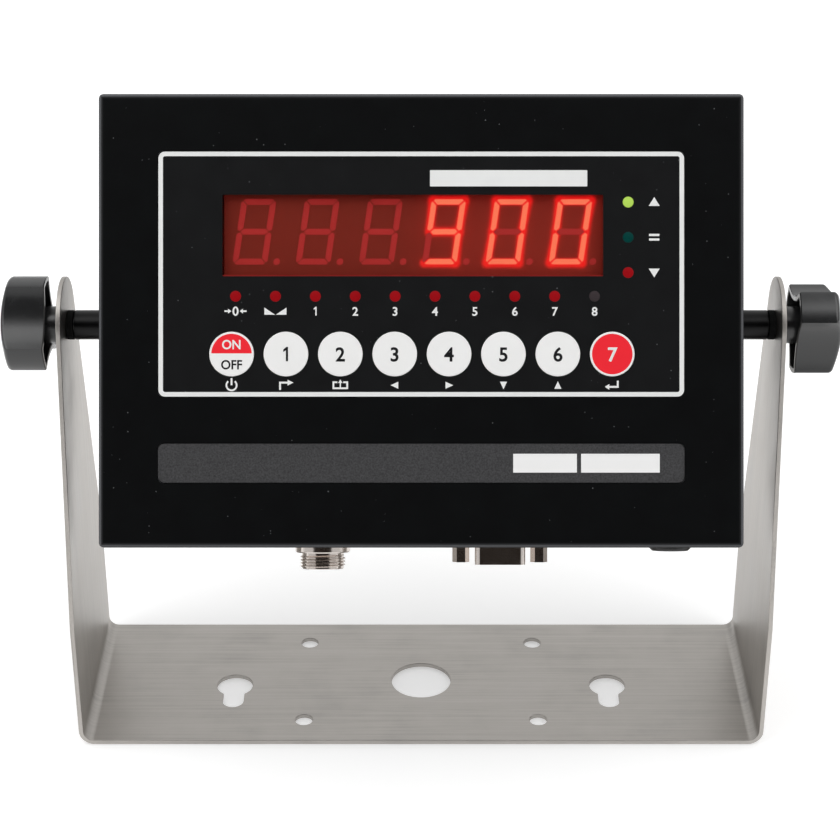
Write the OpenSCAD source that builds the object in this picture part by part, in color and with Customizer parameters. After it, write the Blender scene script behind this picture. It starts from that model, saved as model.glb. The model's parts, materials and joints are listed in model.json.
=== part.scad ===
// Weighing indicator: a box with a keypad and a six digit display, tilting in a bent sheet bracket.
// The origin is the centre of the bracket's cable hole, on the underside. +X right, -Y front, +Z up.

/* [Bracket] */
// Gap between the box and an arm
side_gap = 14; // [12:0.5:30]
// Depth of the base, front to back
base_depth = 71; // [66:1:100]
// Height of the pivot above the base
pivot_rise = 138; // [115:1:180]
// Thickness of the sheet
sheet_t = 1.5; // [1.2:0.1:2.5]
// Inside radius of the two bends
bend_r = 3.5; // [1:0.5:5]
// Radius of the round end of an arm
arm_end_r = 15.5; // [11:0.5:20]
// Height above the base at which an arm begins to narrow
arm_straight = 44; // [20:1:60]
// Diameter of the cable hole in the base
cable_hole_d = 20.6; // [10:0.2:30]
// Diameter of the four screw holes in the base
screw_hole_d = 6; // [4:0.2:8]
// Distance between the screw holes, along X
screw_hole_dx = 80; // [60:1:90]
// Distance between the screw holes, along Y
screw_hole_dy = 47; // [36:1:54]
// Distance between the two keyholes
keyhole_dx = 130; // [110:1:150]
// Diameter of a keyhole's round end
keyhole_d = 12.4; // [9:0.2:14]
// Width of a keyhole's slot
keyhole_slot_w = 7.2; // [5:0.2:8]
// Distance from the round end's centre to the slot's far end
keyhole_reach = 13; // [11:0.5:18]
// How far in front of the cable hole's centre the round ends lie
keyhole_offset = 3; // [0:0.5:8]

/* [Case] */
// Width of the box
case_w = 199; // [196:1:208]
// Height of the box
case_h = 140; // [134:1:160]
// Depth of the box
case_d = 60; // [56:1:80]
// Wall thickness
wall_t = 2.5; // [2:0.1:3]
// Radius of the outer edges
edge_r = 2; // [1:0.5:4]
// Depth of the rear cover
cover_d = 11; // [9:1:14]
// Thickness of the gasket between the front case and the rear cover
gasket_t = 0.8; // [0.5:0.1:1.5]
// How far the face is tilted back from upright
tilt_angle = 28; // [0:1:60]

/* [Face] */
// Width of the keypad film
film_w = 162; // [155:0.2:170]
// Height of the keypad film
film_h = 75.6; // [74:0.1:80]
// Height of the film's centre above the face's centre
film_z = 14.3; // [13:0.1:16]
// Thickness of the keypad film
film_t = 0.5; // [0.3:0.1:0.8]
// Depth of the recess for the film
film_recess = 0.7; // [0.5:0.1:1]
// Corner radius of the film
film_r = 2; // [1:0.5:4]
// Height of the display window
window_h = 25.1; // [22:0.1:27]
// Sideways place of the window's centre
window_x = -2.6; // [-5:0.1:0]
// Height of the window's centre
window_z = 26.2; // [25:0.1:28]
// Width of the label strip
strip_w = 162.2; // [140:0.2:170]
// Height of the label strip
strip_h = 12.1; // [10:0.1:16]
// Height of the label strip's centre
strip_z = -43.9; // [-50:0.1:-40]
// Height of the white fields on the label strip
field_h = 5.8; // [4:0.1:8]
// Width of the first white field
field_a_w = 19.6; // [10:0.2:21]
// Sideways place of the first white field
field_a_x = 38.1; // [30:0.1:40]
// Width of the second white field
field_b_w = 24.2; // [15:0.2:24.5]
// Sideways place of the second white field
field_b_x = 61.3; // [61:0.1:66]

/* [Keys and lamps] */
// Number of keys
key_count = 8; // [8:1:8]
// Diameter of a key
key_d = 14; // [10:0.2:15]
// Distance from key to key
key_pitch = 16.74; // [16:0.02:17.2]
// Sideways place of the middle of the row of keys
key_row_x = 0.2; // [-1:0.1:1]
// Height of the keys' centres
key_z = -10.3; // [-13:0.1:-9]
// How far a key moves when it is pressed
key_travel = 0.4; // [0.2:0.05:0.6]
// Clearance round a key
key_gap = 0.3; // [0.2:0.05:0.5]
// Diameter of a lamp
lamp_d = 3.4; // [2.6:0.1:4]
// Number of status lamps
status_count = 10; // [6:1:10]
// Distance from status lamp to status lamp
status_pitch = 12.28; // [11.5:0.02:12.4]
// Sideways place of the middle of the row of status lamps
status_row_x = -1.9; // [-4:0.1:2]
// Height of the status lamps
status_z = 7.5; // [4:0.1:8]
// Number of limit lamps
limit_count = 3; // [2:1:3]
// Distance from limit lamp to limit lamp
limit_pitch = 10.85; // [8:0.05:11]
// Distance from the window's edge to the middle of the limit lamps
limit_gap = 7.7; // [6:0.1:12]
// Height of the highest limit lamp
limit_top_z = 36.5; // [34:0.1:40]

/* [Digits] */
// Number of digit modules
digit_count = 6; // [4:1:6]
// Distance from digit to digit
digit_pitch = 19.56; // [17:0.02:19.8]
// Sideways place of the middle of the digits, from the window's centre
digit_shift = 0.4; // [0:0.1:0.8]
// Height of a digit module
digit_h = 27.6; // [24:0.1:29]
// Depth of a digit module
digit_d = 8; // [6:0.5:10]
// Gap between two digit modules
digit_gap = 0.16; // [0.1:0.02:0.6]

/* [Sockets] */
// Sideways place of the load cell socket
cell_x = -31.6; // [-50:0.1:-20]
// Thread diameter of the load cell socket
cell_d = 14.65; // [12:0.05:16]
// How far the load cell socket stands out of the case
cell_out = 8.3; // [5:0.1:12]
// Diameter of the load cell socket's flange
cell_flange_d = 17.8; // [17:0.1:20]
// Sideways place of the serial socket
serial_x = 25.25; // [20:0.25:35]
// Width of the serial socket's metal shell
serial_w = 16.3; // [16:0.1:18]
// Height of the serial socket's metal shell, front to back
serial_h = 8.4; // [8:0.1:9]
// How far the serial socket stands out of the case
serial_out = 6.9; // [5:0.1:8]
// Gap between the serial socket's shell and a hexagonal post
post_gap = 1.98; // [1.8:0.02:3]
// Width across flats of a hexagonal post
post_af = 4.75; // [4:0.05:5.5]
// Distance from the box's side to the middle of the power inlet
inlet_side = 19.6; // [12:0.1:30]
// Diameter of the power inlet's head
inlet_d = 13.2; // [11:0.1:16]
// How far the power inlet stands out of the case
inlet_out = 2.5; // [1.5:0.1:4]

/* [Pivot and knobs] */
// Diameter of the threaded pivot studs
stud_d = 6; // [5:0.5:6]
// Diameter of the spacer sleeves
spacer_d = 9.5; // [9.5:0.5:14]
// Thickness of a rubber washer
washer_t = 2.2; // [1:0.1:4]
// Radius of the circle round a knob's lobes
knob_r = 15.6; // [14:0.1:20]
// Distance from a knob's centre to the middle of a hollow between two lobes
knob_waist_r = 9.4; // [9:0.1:11]
// Angle that one lobe takes up
lobe_angle = 40; // [34:1:46]
// Depth of a knob's skirt
knob_skirt = 12; // [9:0.5:16]
// Height of the dome on a knob's outer face
knob_dome = 3; // [1.5:0.5:4]
// Wall thickness of a knob's skirt
knob_wall = 1.6; // [1.2:0.1:2]
// Diameter of a knob's hub
hub_d = 12; // [11:0.5:12.5]
// How far the hub stands out of the skirt
hub_out = 4.2; // [3:0.1:8]

/* [Hidden] */
$fn = 48;
// Overrun of every cut past the surface that it opens
over = 1;
// Gap between a part that turns or slides and what it passes
turn_gap = 0.3;
// Gap between parts of the head that don't touch
fit_gap = 0.2;
// Radial play of a shaft in its bore
shaft_play = 0.08;
// Steps of a quarter turn in an outline
quarter_steps = 6;

pivot_z = sheet_t + pivot_rise;
front_y = -case_d / 2;
rear_y = case_d / 2;
inner_w = case_w - 2 * wall_t;
inner_h = case_h - 2 * wall_t;
wall_inner_y = front_y + wall_t;
film_back_y = front_y + film_recess;
film_front_y = film_back_y - film_t;
cover_y = rear_y - cover_d;
case_back_y = cover_y - gasket_t;
case_inner_z = -inner_h / 2;
case_under_z = -case_h / 2;
arm_gap = case_w + 2 * side_gap;
window_w = digit_count * digit_pitch - digit_gap;
digit_first_x = window_x + digit_shift - (digit_count - 1) / 2 * digit_pitch;
limit_x = window_x + window_w / 2 + limit_gap;
inlet_x = case_w / 2 - inlet_side;
key_first_x = key_row_x - (key_count - 1) / 2 * key_pitch;
status_first_x = status_row_x - (status_count - 1) / 2 * status_pitch;

// Case edges and bosses
boss_d = 7;
cover_screw_d = 3;
cover_bore_d = cover_screw_d + 2 * shaft_play;
cover_head_d = 5.6;
cover_head_t = 1.8;
boss_bite = 0.2;
cover_boss_len = 14;
cover_screw_grip = 9;
drive_d = 2;
drive_t = 1;
side_boss_d = 18;
side_boss_t = 3;

// Window pane
pane_t = wall_t - film_recess;
pane_lap = 2;
window_r = 0.8;
pane_r = 1.5;

// Display board
board_t = 1.6;
digit_back_y = wall_inner_y + fit_gap + digit_d;
display_board_h = 70;
display_board_z = 14;
display_board_r = 1;
display_front_y = digit_back_y;
display_back_y = display_front_y + board_t;
board_screw_d = 3;
board_bore_d = board_screw_d + 2 * shaft_play;
board_head_d = 5.6;
board_head_t = 2;
board_screw_grip = 6;
board_boss_d = 6.4;
board_hole_inset = 4;
lamp_collar_d = 4.4;
lamp_collar_t = 1;
status_hole_d = lamp_d + fit_gap;

// Keys
key_front_y = film_front_y - fit_gap / 2;
key_t = 1.2;
key_well_d = key_d + 2 * key_gap;
key_rib_d = 8;
key_rib_t = 2.4;
stem_d = 3.5;
switch_w = 6;
switch_h = 4.3;
switch_r = 0.6;
dome_d = 5;
dome_t = 0.15;
dome_rise = 0.5;
switch_well_d = dome_d + fit_gap;
switch_floor_t = 0.8;
switch_lid_t = 1.2;
dome_top_y = display_front_y - switch_floor_t - dome_rise - dome_t;
stem_tip_y = dome_top_y - key_travel - shaft_play;

// Pivot studs and their nuts inside the box, in distances from the middle plane
nut_t = 5;
nut_af = 10;
nut_outer_x = inner_w / 2 - side_boss_t;
stud_tail = 2;
stud_inner_x = nut_outer_x - nut_t - stud_tail;

// Main board, which ends at the studs, and the display board between its bosses
main_board_w = 2 * (stud_inner_x - fit_gap);
main_board_h = 84;
main_board_z = 10;
main_board_share = 0.78;
main_hole_dx = main_board_w - 2 * board_hole_inset;
main_hole_inset_z = 14;
main_hole_dz = main_board_h - 2 * main_hole_inset_z;
board_side_gap = 0.6;
display_board_w = main_hole_dx - board_boss_d - 2 * board_side_gap;
display_hole_dx = display_board_w - 2 * board_hole_inset;
display_hole_dz = display_board_h - 2 * board_hole_inset;
link_w = 26;
link_h = 5;
link_x = 20;
link_z = -14;
chip_t = 2.2;
chip_w = 16;
chip_h = 12;
chip_x = -20;
chip_z = 24;
adc_w = 10;
adc_h = 7;
adc_x = -48;
adc_z = -12;
cap_d = 8;
cap_len = 11;
cap_count = 2;
cap_pitch = 9;
cap_x = -60;
cap_z = 44;
header_rim = 1;
header_h = 6;
header_d = 4.5;
header_z = -26;
wire_d = 1.3;
wire_pitch = 2.2;
cell_wires = 5;
serial_wires = 3;
inlet_wires = 2;

// Battery and charger board, on the rear cover
cover_inner_y = rear_y - wall_t;
battery_w = 97;
battery_h = 51;
battery_d = 24;
battery_z = -2;
battery_r = 1.5;
battery_side_gap = 1.2;
terminal_w = 4.8;
terminal_h = 6;
terminal_t = 0.8;
terminal_inset = 12;
terminal_z = battery_z + (battery_h + terminal_h) / 2;
lead_dz = 4;
strap_t = 1.2;
strap_w = 14;
strap_foot = 9;
pad_t = 4;
charger_w = 38;
charger_h = 58;
charger_z = 0;
charger_gap = 3.5;
charger_stand = 5;
charger_hole_inset = 4;
charger_coil_d = 14;
charger_coil_t = 8;
charger_coil_z = 12;
battery_mid_y = cover_inner_y - battery_d / 2;
strap_front_y = cover_inner_y - battery_d - strap_t;
strap_span = battery_w + 2 * strap_t;
battery_x = -inner_w / 2 + battery_side_gap + strap_foot + strap_span / 2;
charger_x = battery_x + strap_span / 2 + strap_foot + charger_gap + charger_w / 2;
charger_front_y = cover_inner_y - charger_stand - board_t;

// The main board takes the same share of the free depth between the display board and the battery's strap
free_depth = strap_front_y - display_back_y - board_t - header_d;
main_board_y = display_back_y + main_board_share * free_depth;

// Sockets in the underside
cell_wall_t = 1.325;
cell_bore_d = cell_d - 2 * cell_wall_t;
cell_flange_t = 3;
cell_inside = 9;
cell_nut_rim = 1.2;
cell_nut_af = cell_d + 2 * cell_nut_rim;
cell_nut_t = 2.6;
cell_insert_recess = 5;
cell_pin_len = 4;
cell_pin_d = 1.6;
cell_pin_ring_d = 6;
cell_pin_count = 5;
post_spacing = serial_w + post_af + 2 * post_gap;
serial_flange_rim = 2.9;
serial_flange_lip = 2.05;
serial_flange_w = post_spacing + 2 * serial_flange_rim;
serial_flange_h = serial_h + 2 * serial_flange_lip;
serial_flange_t = 1;
serial_shell_t = 0.5;
serial_shell_r = 2.2;
serial_body_rim = 1.2;
serial_body_w = serial_w + 2 * serial_body_rim;
serial_body_h = serial_h + 2 * serial_body_rim;
serial_body_t = 9;
serial_body_r = 1;
serial_slant = 10;
serial_pin_d = 1.1;
serial_pin_pitch = 2.76;
serial_row_gap = 2.84;
serial_pin_depth = 5;
serial_front_pins = 5;
serial_rear_pins = 4;
post_len = 6.2;
post_stud_d = 2.8;
post_stud_len = 6;
post_bore_d = 2.6;
post_bore_t = 4;
inlet_stem_d = 10.8;
inlet_inside = 11;
inlet_bore_d = 5.5;
inlet_bore_t = 9;
inlet_pin_d = 2;
inlet_dome = 0.8;
inlet_nut_af = 14;
inlet_nut_t = 2.4;

// Pivot, in distances from the middle plane
arm_inner_x = arm_gap / 2;
arm_outer_x = arm_inner_x + sheet_t;
case_side_x = case_w / 2;
washer_inner_x = arm_inner_x - washer_t;
spacer_outer_x = washer_inner_x - turn_gap;
knob_hub_x = arm_outer_x + turn_gap;
knob_rim_x = knob_hub_x + hub_out;
knob_edge_x = knob_rim_x + knob_skirt;
knob_top_x = knob_edge_x + knob_dome;
knob_web_t = 3;
insert_d = 8.5;
insert_t = 11;
insert_inset = 0.4;
stud_shy = 1;
stud_outer_x = knob_hub_x + insert_inset + insert_t - stud_shy;
lobe_count = 3;
dome_steps = 96;
right_knob_turn = 19.5;
left_knob_turn = 68;

// Points of an arc, both ends included
function arc(cx, cy, r, from, to, steps) =
    [for (i = [0:steps]) let (a = from + (to - from) * i / steps) [cx + r * cos(a), cy + r * sin(a)]];

// Outline of a rectangle with round corners, centred
function round_rect(w, h, r) = concat(
    arc(w / 2 - r, h / 2 - r, r, 0, 90, quarter_steps),
    arc(-w / 2 + r, h / 2 - r, r, 90, 180, quarter_steps),
    arc(-w / 2 + r, -h / 2 + r, r, 180, 270, quarter_steps),
    arc(w / 2 - r, -h / 2 + r, r, 270, 360, quarter_steps)
);

// Sideways place of the copy with index i in a row
function row_x(first, pitch, i) = first + i * pitch;

// Puts the head's own frame, whose origin is on the pivot line, into the part's frame
module on_head() translate([0, 0, pivot_z]) rotate([-tilt_angle, 0, 0]) children();

// Extrudes an outline drawn in X and Z from y_back towards the front, by depth
module plate(y_back, depth) translate([0, y_back, 0]) rotate([90, 0, 0]) linear_extrude(depth) children();

// A cylinder along Y, from y_back towards the front
module rod(x, z, d, y_back, depth) translate([x, y_back, z]) rotate([90, 0, 0]) cylinder(d = d, h = depth);

// A cylinder along X, between two distances from the middle plane
module axle(d, x_from, x_to) translate([x_from, 0, 0]) rotate([0, 90, 0]) cylinder(d = d, h = x_to - x_from);

// A cylinder along Z
module post(x, y, z, d, h) translate([x, y, z]) cylinder(d = d, h = h);

// A hexagonal prism along Z
module hex_post(x, y, z, af, h) translate([x, y, z]) cylinder(d = af / cos(30), h = h, $fn = 6);

// Repeats its children at the four corners of a rectangle in X and Z
module at_corners(dx, dz)
    for (sx = [-1, 1], sz = [-1, 1]) translate([sx * dx / 2, 0, sz * dz / 2]) children();

// Mirrors its children to the left for side -1
module on_side(side) mirror([side < 0 ? 1 : 0, 0, 0]) children();

// A sleeve along X
module sleeve(d, bore, x_from, x_to) difference() {
    axle(d, x_from, x_to);
    axle(bore, x_from - over, x_to + over);
}

module bracket_sheet() {
    corner_x = arm_inner_x - bend_r;
    corner_z = sheet_t + bend_r;
    outer_r = sheet_t + bend_r;
    top_z = pivot_z + arm_end_r + over;
    outline = concat(
        [[-arm_outer_x, top_z]],
        arc(-corner_x, corner_z, outer_r, 180, 270, quarter_steps),
        arc(corner_x, corner_z, outer_r, 270, 360, quarter_steps),
        [[arm_outer_x, top_z], [arm_inner_x, top_z]],
        arc(corner_x, corner_z, bend_r, 360, 270, quarter_steps),
        arc(-corner_x, corner_z, bend_r, 270, 180, quarter_steps),
        [[-arm_inner_x, top_z]]
    );
    rotate([90, 0, 0]) linear_extrude(base_depth + 2 * over, center = true) polygon(outline);
}

module arm_outline() {
    shoulder_z = sheet_t + arm_straight;
    drop = pivot_z - shoulder_z;
    reach = sqrt(pow(base_depth / 2, 2) + pow(drop, 2));
    touch = acos(arm_end_r / reach) - atan2(drop, base_depth / 2);
    rotate([90, 0, 90]) linear_extrude(2 * arm_outer_x + 2 * over, center = true) polygon(concat(
        [[-base_depth / 2, 0], [base_depth / 2, 0], [base_depth / 2, shoulder_z]],
        arc(0, pivot_z, arm_end_r, touch, 180 - touch, 4 * quarter_steps),
        [[-base_depth / 2, shoulder_z]]
    ));
}

module keyhole() {
    slot_r = keyhole_slot_w / 2;
    slot_end = keyhole_reach - slot_r;
    translate([0, -keyhole_offset, -over]) {
        cylinder(d = keyhole_d, h = sheet_t + 2 * over);
        linear_extrude(sheet_t + 2 * over) polygon(concat(
            [[slot_r, 0], [-slot_r, 0]],
            arc(0, -slot_end, slot_r, 180, 360, 2 * quarter_steps)
        ));
    }
}

module bracket() color("silver") difference() {
    intersection() {
        bracket_sheet();
        arm_outline();
    }
    post(0, 0, -over, cable_hole_d, sheet_t + 2 * over);
    for (sx = [-1, 1], sy = [-1, 1])
        post(sx * screw_hole_dx / 2, sy * screw_hole_dy / 2, -over, screw_hole_d, sheet_t + 2 * over);
    for (sx = [-1, 1]) translate([sx * keyhole_dx / 2, 0, 0]) keyhole();
    translate([0, 0, pivot_z]) for (side = [-1, 1])
        on_side(side) axle(stud_d + 2 * shaft_play, arm_inner_x - over, arm_outer_x + over);
}

module washer(side) color("dimgray") translate([0, 0, pivot_z])
    on_side(side) sleeve(spacer_d, stud_d + 2 * shaft_play, washer_inner_x, arm_inner_x);

// The box's outer form: three outlines with round corners, crossed
module case_form() intersection() {
    rotate([90, 0, 0]) linear_extrude(case_d, center = true) polygon(round_rect(case_w, case_h, edge_r));
    linear_extrude(case_h, center = true) polygon(round_rect(case_w, case_d, edge_r));
    rotate([90, 0, 90]) linear_extrude(case_w, center = true) polygon(round_rect(case_d, case_h, edge_r));
}

// The part of the box between two planes across its depth
module case_slice(y_front, y_back) intersection() {
    case_form();
    translate([-case_w, y_front, -case_h]) cube([2 * case_w, y_back - y_front, 2 * case_h]);
}

// Places of the six cover screws
module at_cover_screws() {
    dx = inner_w / 2 - boss_d / 2 + boss_bite;
    dz = inner_h / 2 - boss_d / 2 + boss_bite;
    for (sx = [-1, 0, 1], sz = [-1, 1]) translate([sx * dx, 0, sz * dz]) children();
}

module keys_row()
    for (i = [0:key_count - 1]) translate([row_x(key_first_x, key_pitch, i), 0, key_z]) children();

module status_row() for (i = [0:status_count - 1])
    translate([row_x(status_first_x, status_pitch, i), 0, status_z]) children();

module limit_row()
    for (i = [0:limit_count - 1]) translate([limit_x, 0, limit_top_z - i * limit_pitch]) children();

module front_case() color([0.05, 0.05, 0.055]) on_head() difference() {
    union() {
        difference() {
            case_slice(front_y, case_back_y);
            plate(case_back_y + over, case_back_y - wall_inner_y + over)
                square([inner_w, inner_h], center = true);
        }
        at_cover_screws() rod(0, 0, boss_d, case_back_y, cover_boss_len);
        translate([0, 0, display_board_z]) at_corners(display_hole_dx, display_hole_dz)
            rod(0, 0, board_boss_d, display_front_y, display_front_y - wall_inner_y + over / 2);
        translate([0, 0, main_board_z]) at_corners(main_hole_dx, main_hole_dz)
            rod(0, 0, board_boss_d, main_board_y, main_board_y - wall_inner_y + over / 2);
        for (side = [-1, 1]) on_side(side) axle(side_boss_d, nut_outer_x, inner_w / 2 + over);
    }
    translate([0, 0, film_z]) plate(film_back_y, film_recess + over)
        polygon(round_rect(film_w + 2 * fit_gap, film_h + 2 * fit_gap, film_r + fit_gap));
    translate([0, 0, strip_z]) plate(film_back_y, film_recess + over)
        polygon(round_rect(strip_w + 2 * fit_gap, strip_h + 2 * fit_gap, film_r + fit_gap));
    translate([window_x, 0, window_z]) plate(wall_inner_y + over, wall_t + 2 * over)
        polygon(round_rect(window_w + 2 * pane_lap, window_h + 2 * pane_lap, pane_r));
    keys_row() rod(0, 0, key_well_d, wall_inner_y + over, wall_t + 2 * over);
    status_row() rod(0, 0, status_hole_d, wall_inner_y + over, wall_t + 2 * over);
    limit_row() rod(0, 0, status_hole_d, wall_inner_y + over, wall_t + 2 * over);
    at_cover_screws() rod(0, 0, cover_bore_d, case_back_y + over, cover_screw_grip + over);
    translate([0, 0, display_board_z]) at_corners(display_hole_dx, display_hole_dz)
        rod(0, 0, board_bore_d, display_front_y + over, board_screw_grip + over);
    translate([0, 0, main_board_z]) at_corners(main_hole_dx, main_hole_dz)
        rod(0, 0, board_bore_d, main_board_y + over, board_screw_grip + over);
    for (side = [-1, 1]) on_side(side) axle(stud_d + 2 * shaft_play, nut_outer_x - over, case_side_x + over);
    post(cell_x, 0, case_under_z - over, cell_d + 2 * shaft_play, wall_t + 2 * over);
    translate([serial_x, 0, case_under_z - over]) {
        linear_extrude(wall_t + 2 * over)
            polygon(round_rect(serial_body_w + 2 * fit_gap, serial_body_h + 2 * fit_gap, serial_body_r));
        for (sx = [-1, 1]) post(sx * post_spacing / 2, 0, 0, post_stud_d + fit_gap, wall_t + 2 * over);
    }
    post(inlet_x, 0, case_under_z - over, inlet_stem_d + 2 * shaft_play, wall_t + 2 * over);
}

module rear_cover() color([0.05, 0.05, 0.055]) on_head() difference() {
    union() {
        difference() {
            case_slice(cover_y, rear_y);
            plate(cover_inner_y, cover_d + over) square([inner_w, inner_h], center = true);
        }
        at_cover_screws() rod(0, 0, boss_d, cover_inner_y + over / 2, cover_inner_y - cover_y + over / 2);
        at_strap_feet() rod(0, 0, board_boss_d, cover_inner_y + over / 2, pad_t + over / 2);
        at_charger_screws() rod(0, 0, board_boss_d, cover_inner_y + over / 2, charger_stand + over / 2);
    }
    at_cover_screws() {
        rod(0, 0, cover_bore_d, rear_y + over, cover_d + 2 * over);
        rod(0, 0, cover_head_d + 2 * fit_gap, rear_y + over, cover_head_t + over);
    }
    at_strap_feet() rod(0, 0, board_bore_d, cover_inner_y, pad_t + over);
    at_charger_screws() rod(0, 0, board_bore_d, cover_inner_y, charger_stand + over);
}

module cover_gasket() color("black") on_head() difference() {
    case_slice(case_back_y, cover_y);
    plate(cover_y + over, gasket_t + 2 * over) square([inner_w, inner_h], center = true);
}

// A pan head screw along Y whose head sits on y_seat and points to the rear
module rear_screw(d, head_d, head_t, y_seat, grip) difference() {
    union() {
        rod(0, 0, head_d, y_seat + head_t, head_t);
        rod(0, 0, d, y_seat + head_t / 2, grip + head_t / 2);
    }
    rod(0, 0, drive_d, y_seat + head_t + over, drive_t + over);
}

// A pan head screw along Y whose head sits on y_seat and points to the front
module front_screw(d, head_d, head_t, y_seat, grip)
    mirror([0, 1, 0]) rear_screw(d, head_d, head_t, -y_seat, grip);

// A board screw with its head on the rear of a board
module board_screw(y_seat) rear_screw(board_screw_d, board_head_d, board_head_t, y_seat,
    board_t + board_screw_grip - over);

module cover_screws() color("silver") on_head() at_cover_screws()
    rear_screw(cover_screw_d, cover_head_d, cover_head_t, rear_y - cover_head_t,
        rear_y - cover_head_t - case_back_y + cover_screw_grip - over);

module keypad_film() color([0.04, 0.04, 0.045]) on_head() difference() {
    translate([0, 0, film_z]) plate(film_back_y, film_t) polygon(round_rect(film_w, film_h, film_r));
    translate([window_x, 0, window_z]) plate(film_back_y + over, film_t + 2 * over)
        polygon(round_rect(window_w, window_h, window_r));
    keys_row() rod(0, 0, key_d + 2 * fit_gap, film_back_y + over, film_t + 2 * over);
}

module display_window() color([0.35, 0.05, 0.04, 0.6]) on_head() translate([window_x, 0, window_z])
    plate(film_back_y + pane_t, pane_t) polygon(round_rect(
        window_w + 2 * (pane_lap - fit_gap), window_h + 2 * (pane_lap - fit_gap), pane_r - fit_gap));

module label_strip() color([0.2, 0.2, 0.21]) on_head() translate([0, 0, strip_z])
    plate(film_back_y, film_t) polygon(round_rect(strip_w, strip_h, film_r));

module label_field(x, w) translate([x, 0, strip_z]) plate(film_front_y, film_recess - film_t)
    square([w, field_h], center = true);

module label_fields() color("white") on_head() {
    label_field(field_a_x, field_a_w);
    label_field(field_b_x, field_b_w);
}

module display_board() color("darkgreen") on_head() difference() {
    translate([0, 0, display_board_z]) plate(display_back_y, board_t)
        polygon(round_rect(display_board_w, display_board_h, display_board_r));
    translate([0, 0, display_board_z]) at_corners(display_hole_dx, display_hole_dz)
        rod(0, 0, board_bore_d, display_back_y + over, board_t + 2 * over);
}

module display_board_screws() color("silver") on_head() translate([0, 0, display_board_z])
    at_corners(display_hole_dx, display_hole_dz) board_screw(display_back_y);

module digit_modules() color([0.3, 0.05, 0.04]) on_head() for (i = [0:digit_count - 1])
    translate([row_x(digit_first_x, digit_pitch, i), 0, window_z])
        plate(digit_back_y, digit_d) square([digit_pitch - digit_gap, digit_h], center = true);

// A lamp that stands on the display board, with a collar at its foot and its lens under the film
module lamp() {
    foot_y = display_front_y - lamp_collar_t / 2;
    rod(0, 0, lamp_d, foot_y, foot_y - film_back_y);
    rod(0, 0, lamp_collar_d, display_front_y, lamp_collar_t);
}

module status_lamps() color([0.65, 0.12, 0.1]) on_head() status_row() lamp();

module limit_lamps() color([0.6, 0.75, 0.35]) on_head() limit_row() lamp();

module key_switches() color([0.12, 0.12, 0.13]) on_head() keys_row() difference() {
    lid_y = display_front_y - switch_h + switch_lid_t;
    plate(display_front_y, switch_h) polygon(round_rect(switch_w, switch_w, switch_r));
    rod(0, 0, switch_well_d, display_front_y - switch_floor_t, switch_h - switch_floor_t - switch_lid_t);
    rod(0, 0, stem_d + 2 * shaft_play, lid_y + over, switch_lid_t + 2 * over);
}

// A thin cap, high in the middle, standing on the floor of the switch
module snap_dome() translate([0, display_front_y - switch_floor_t, 0]) rotate([90, 0, 0]) rotate_extrude()
    polygon([[0, dome_rise], [dome_d / 2 - dome_t, 0], [dome_d / 2, 0], [dome_d / 2, dome_t],
        [dome_d / 2 - dome_t, dome_t], [0, dome_rise + dome_t]]);

module switch_domes() color("gold") on_head() keys_row() snap_dome();

module key(i) color(i == key_count - 1 ? "firebrick" : "white") on_head()
    translate([row_x(key_first_x, key_pitch, i), 0, key_z]) {
        rod(0, 0, key_d, key_front_y + key_t, key_t);
        rod(0, 0, key_rib_d, key_front_y + key_t + key_rib_t, key_rib_t + key_t / 2);
        rod(0, 0, stem_d, stem_tip_y, stem_tip_y - key_front_y - key_t);
    }

module main_board() color("darkgreen") on_head() difference() {
    translate([0, 0, main_board_z]) plate(main_board_y + board_t, board_t)
        polygon(round_rect(main_board_w, main_board_h, display_board_r));
    translate([0, 0, main_board_z]) at_corners(main_hole_dx, main_hole_dz)
        rod(0, 0, board_bore_d, main_board_y + board_t + over, board_t + 2 * over);
}

module main_board_screws() color("silver") on_head() translate([0, 0, main_board_z])
    at_corners(main_hole_dx, main_hole_dz) board_screw(main_board_y + board_t);

module main_board_parts() color([0.15, 0.15, 0.16]) on_head() {
    translate([chip_x, 0, chip_z]) plate(main_board_y, chip_t) square([chip_w, chip_h], center = true);
    translate([adc_x, 0, adc_z]) plate(main_board_y, chip_t) square([adc_w, adc_h], center = true);
    for (i = [0:cap_count - 1])
        rod(cap_x, cap_z - i * cap_pitch, cap_d, main_board_y + board_t + cap_len, cap_len);
}

module board_link() color([0.1, 0.1, 0.1]) on_head() translate([link_x, 0, link_z])
    plate(main_board_y, main_board_y - display_back_y)
        square([link_w, link_h], center = true);

// Width of a wire header with the given number of wires
function header_width(count) = count * wire_pitch + 2 * header_rim;

module wire_header(x, count) translate([x, 0, header_z])
    plate(main_board_y + board_t + header_d, header_d)
        square([header_width(count), header_h], center = true);

// A row of straight wires from z_foot up to the underside of the wire header above
module header_wires(x, count, z_foot) for (i = [0:count - 1])
    post(x + (i - (count - 1) / 2) * wire_pitch, main_board_y + board_t + header_d / 2, z_foot, wire_d,
        header_z - header_h / 2 - z_foot);

module wire_headers() color("ivory") on_head() {
    wire_header(cell_x, cell_wires);
    wire_header(serial_x, serial_wires);
    wire_header(inlet_x, inlet_wires);
}

module socket_wires() color("firebrick") on_head() {
    header_wires(cell_x, cell_wires, case_inner_z + cell_inside);
    header_wires(serial_x, serial_wires, case_under_z + serial_body_t);
    header_wires(inlet_x, inlet_wires, case_inner_z + inlet_inside);
    board_back_y = main_board_y + board_t;
    tab_front_y = battery_mid_y - terminal_t / 2;
    at_terminals() rod(0, 0, wire_d, tab_front_y, tab_front_y - board_back_y);
    for (sx = [-1, 1]) translate([charger_x + sx * wire_pitch, 0, charger_z + charger_h / 2 - lead_dz])
        rod(0, 0, wire_d, charger_front_y, charger_front_y - board_back_y);
}

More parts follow.
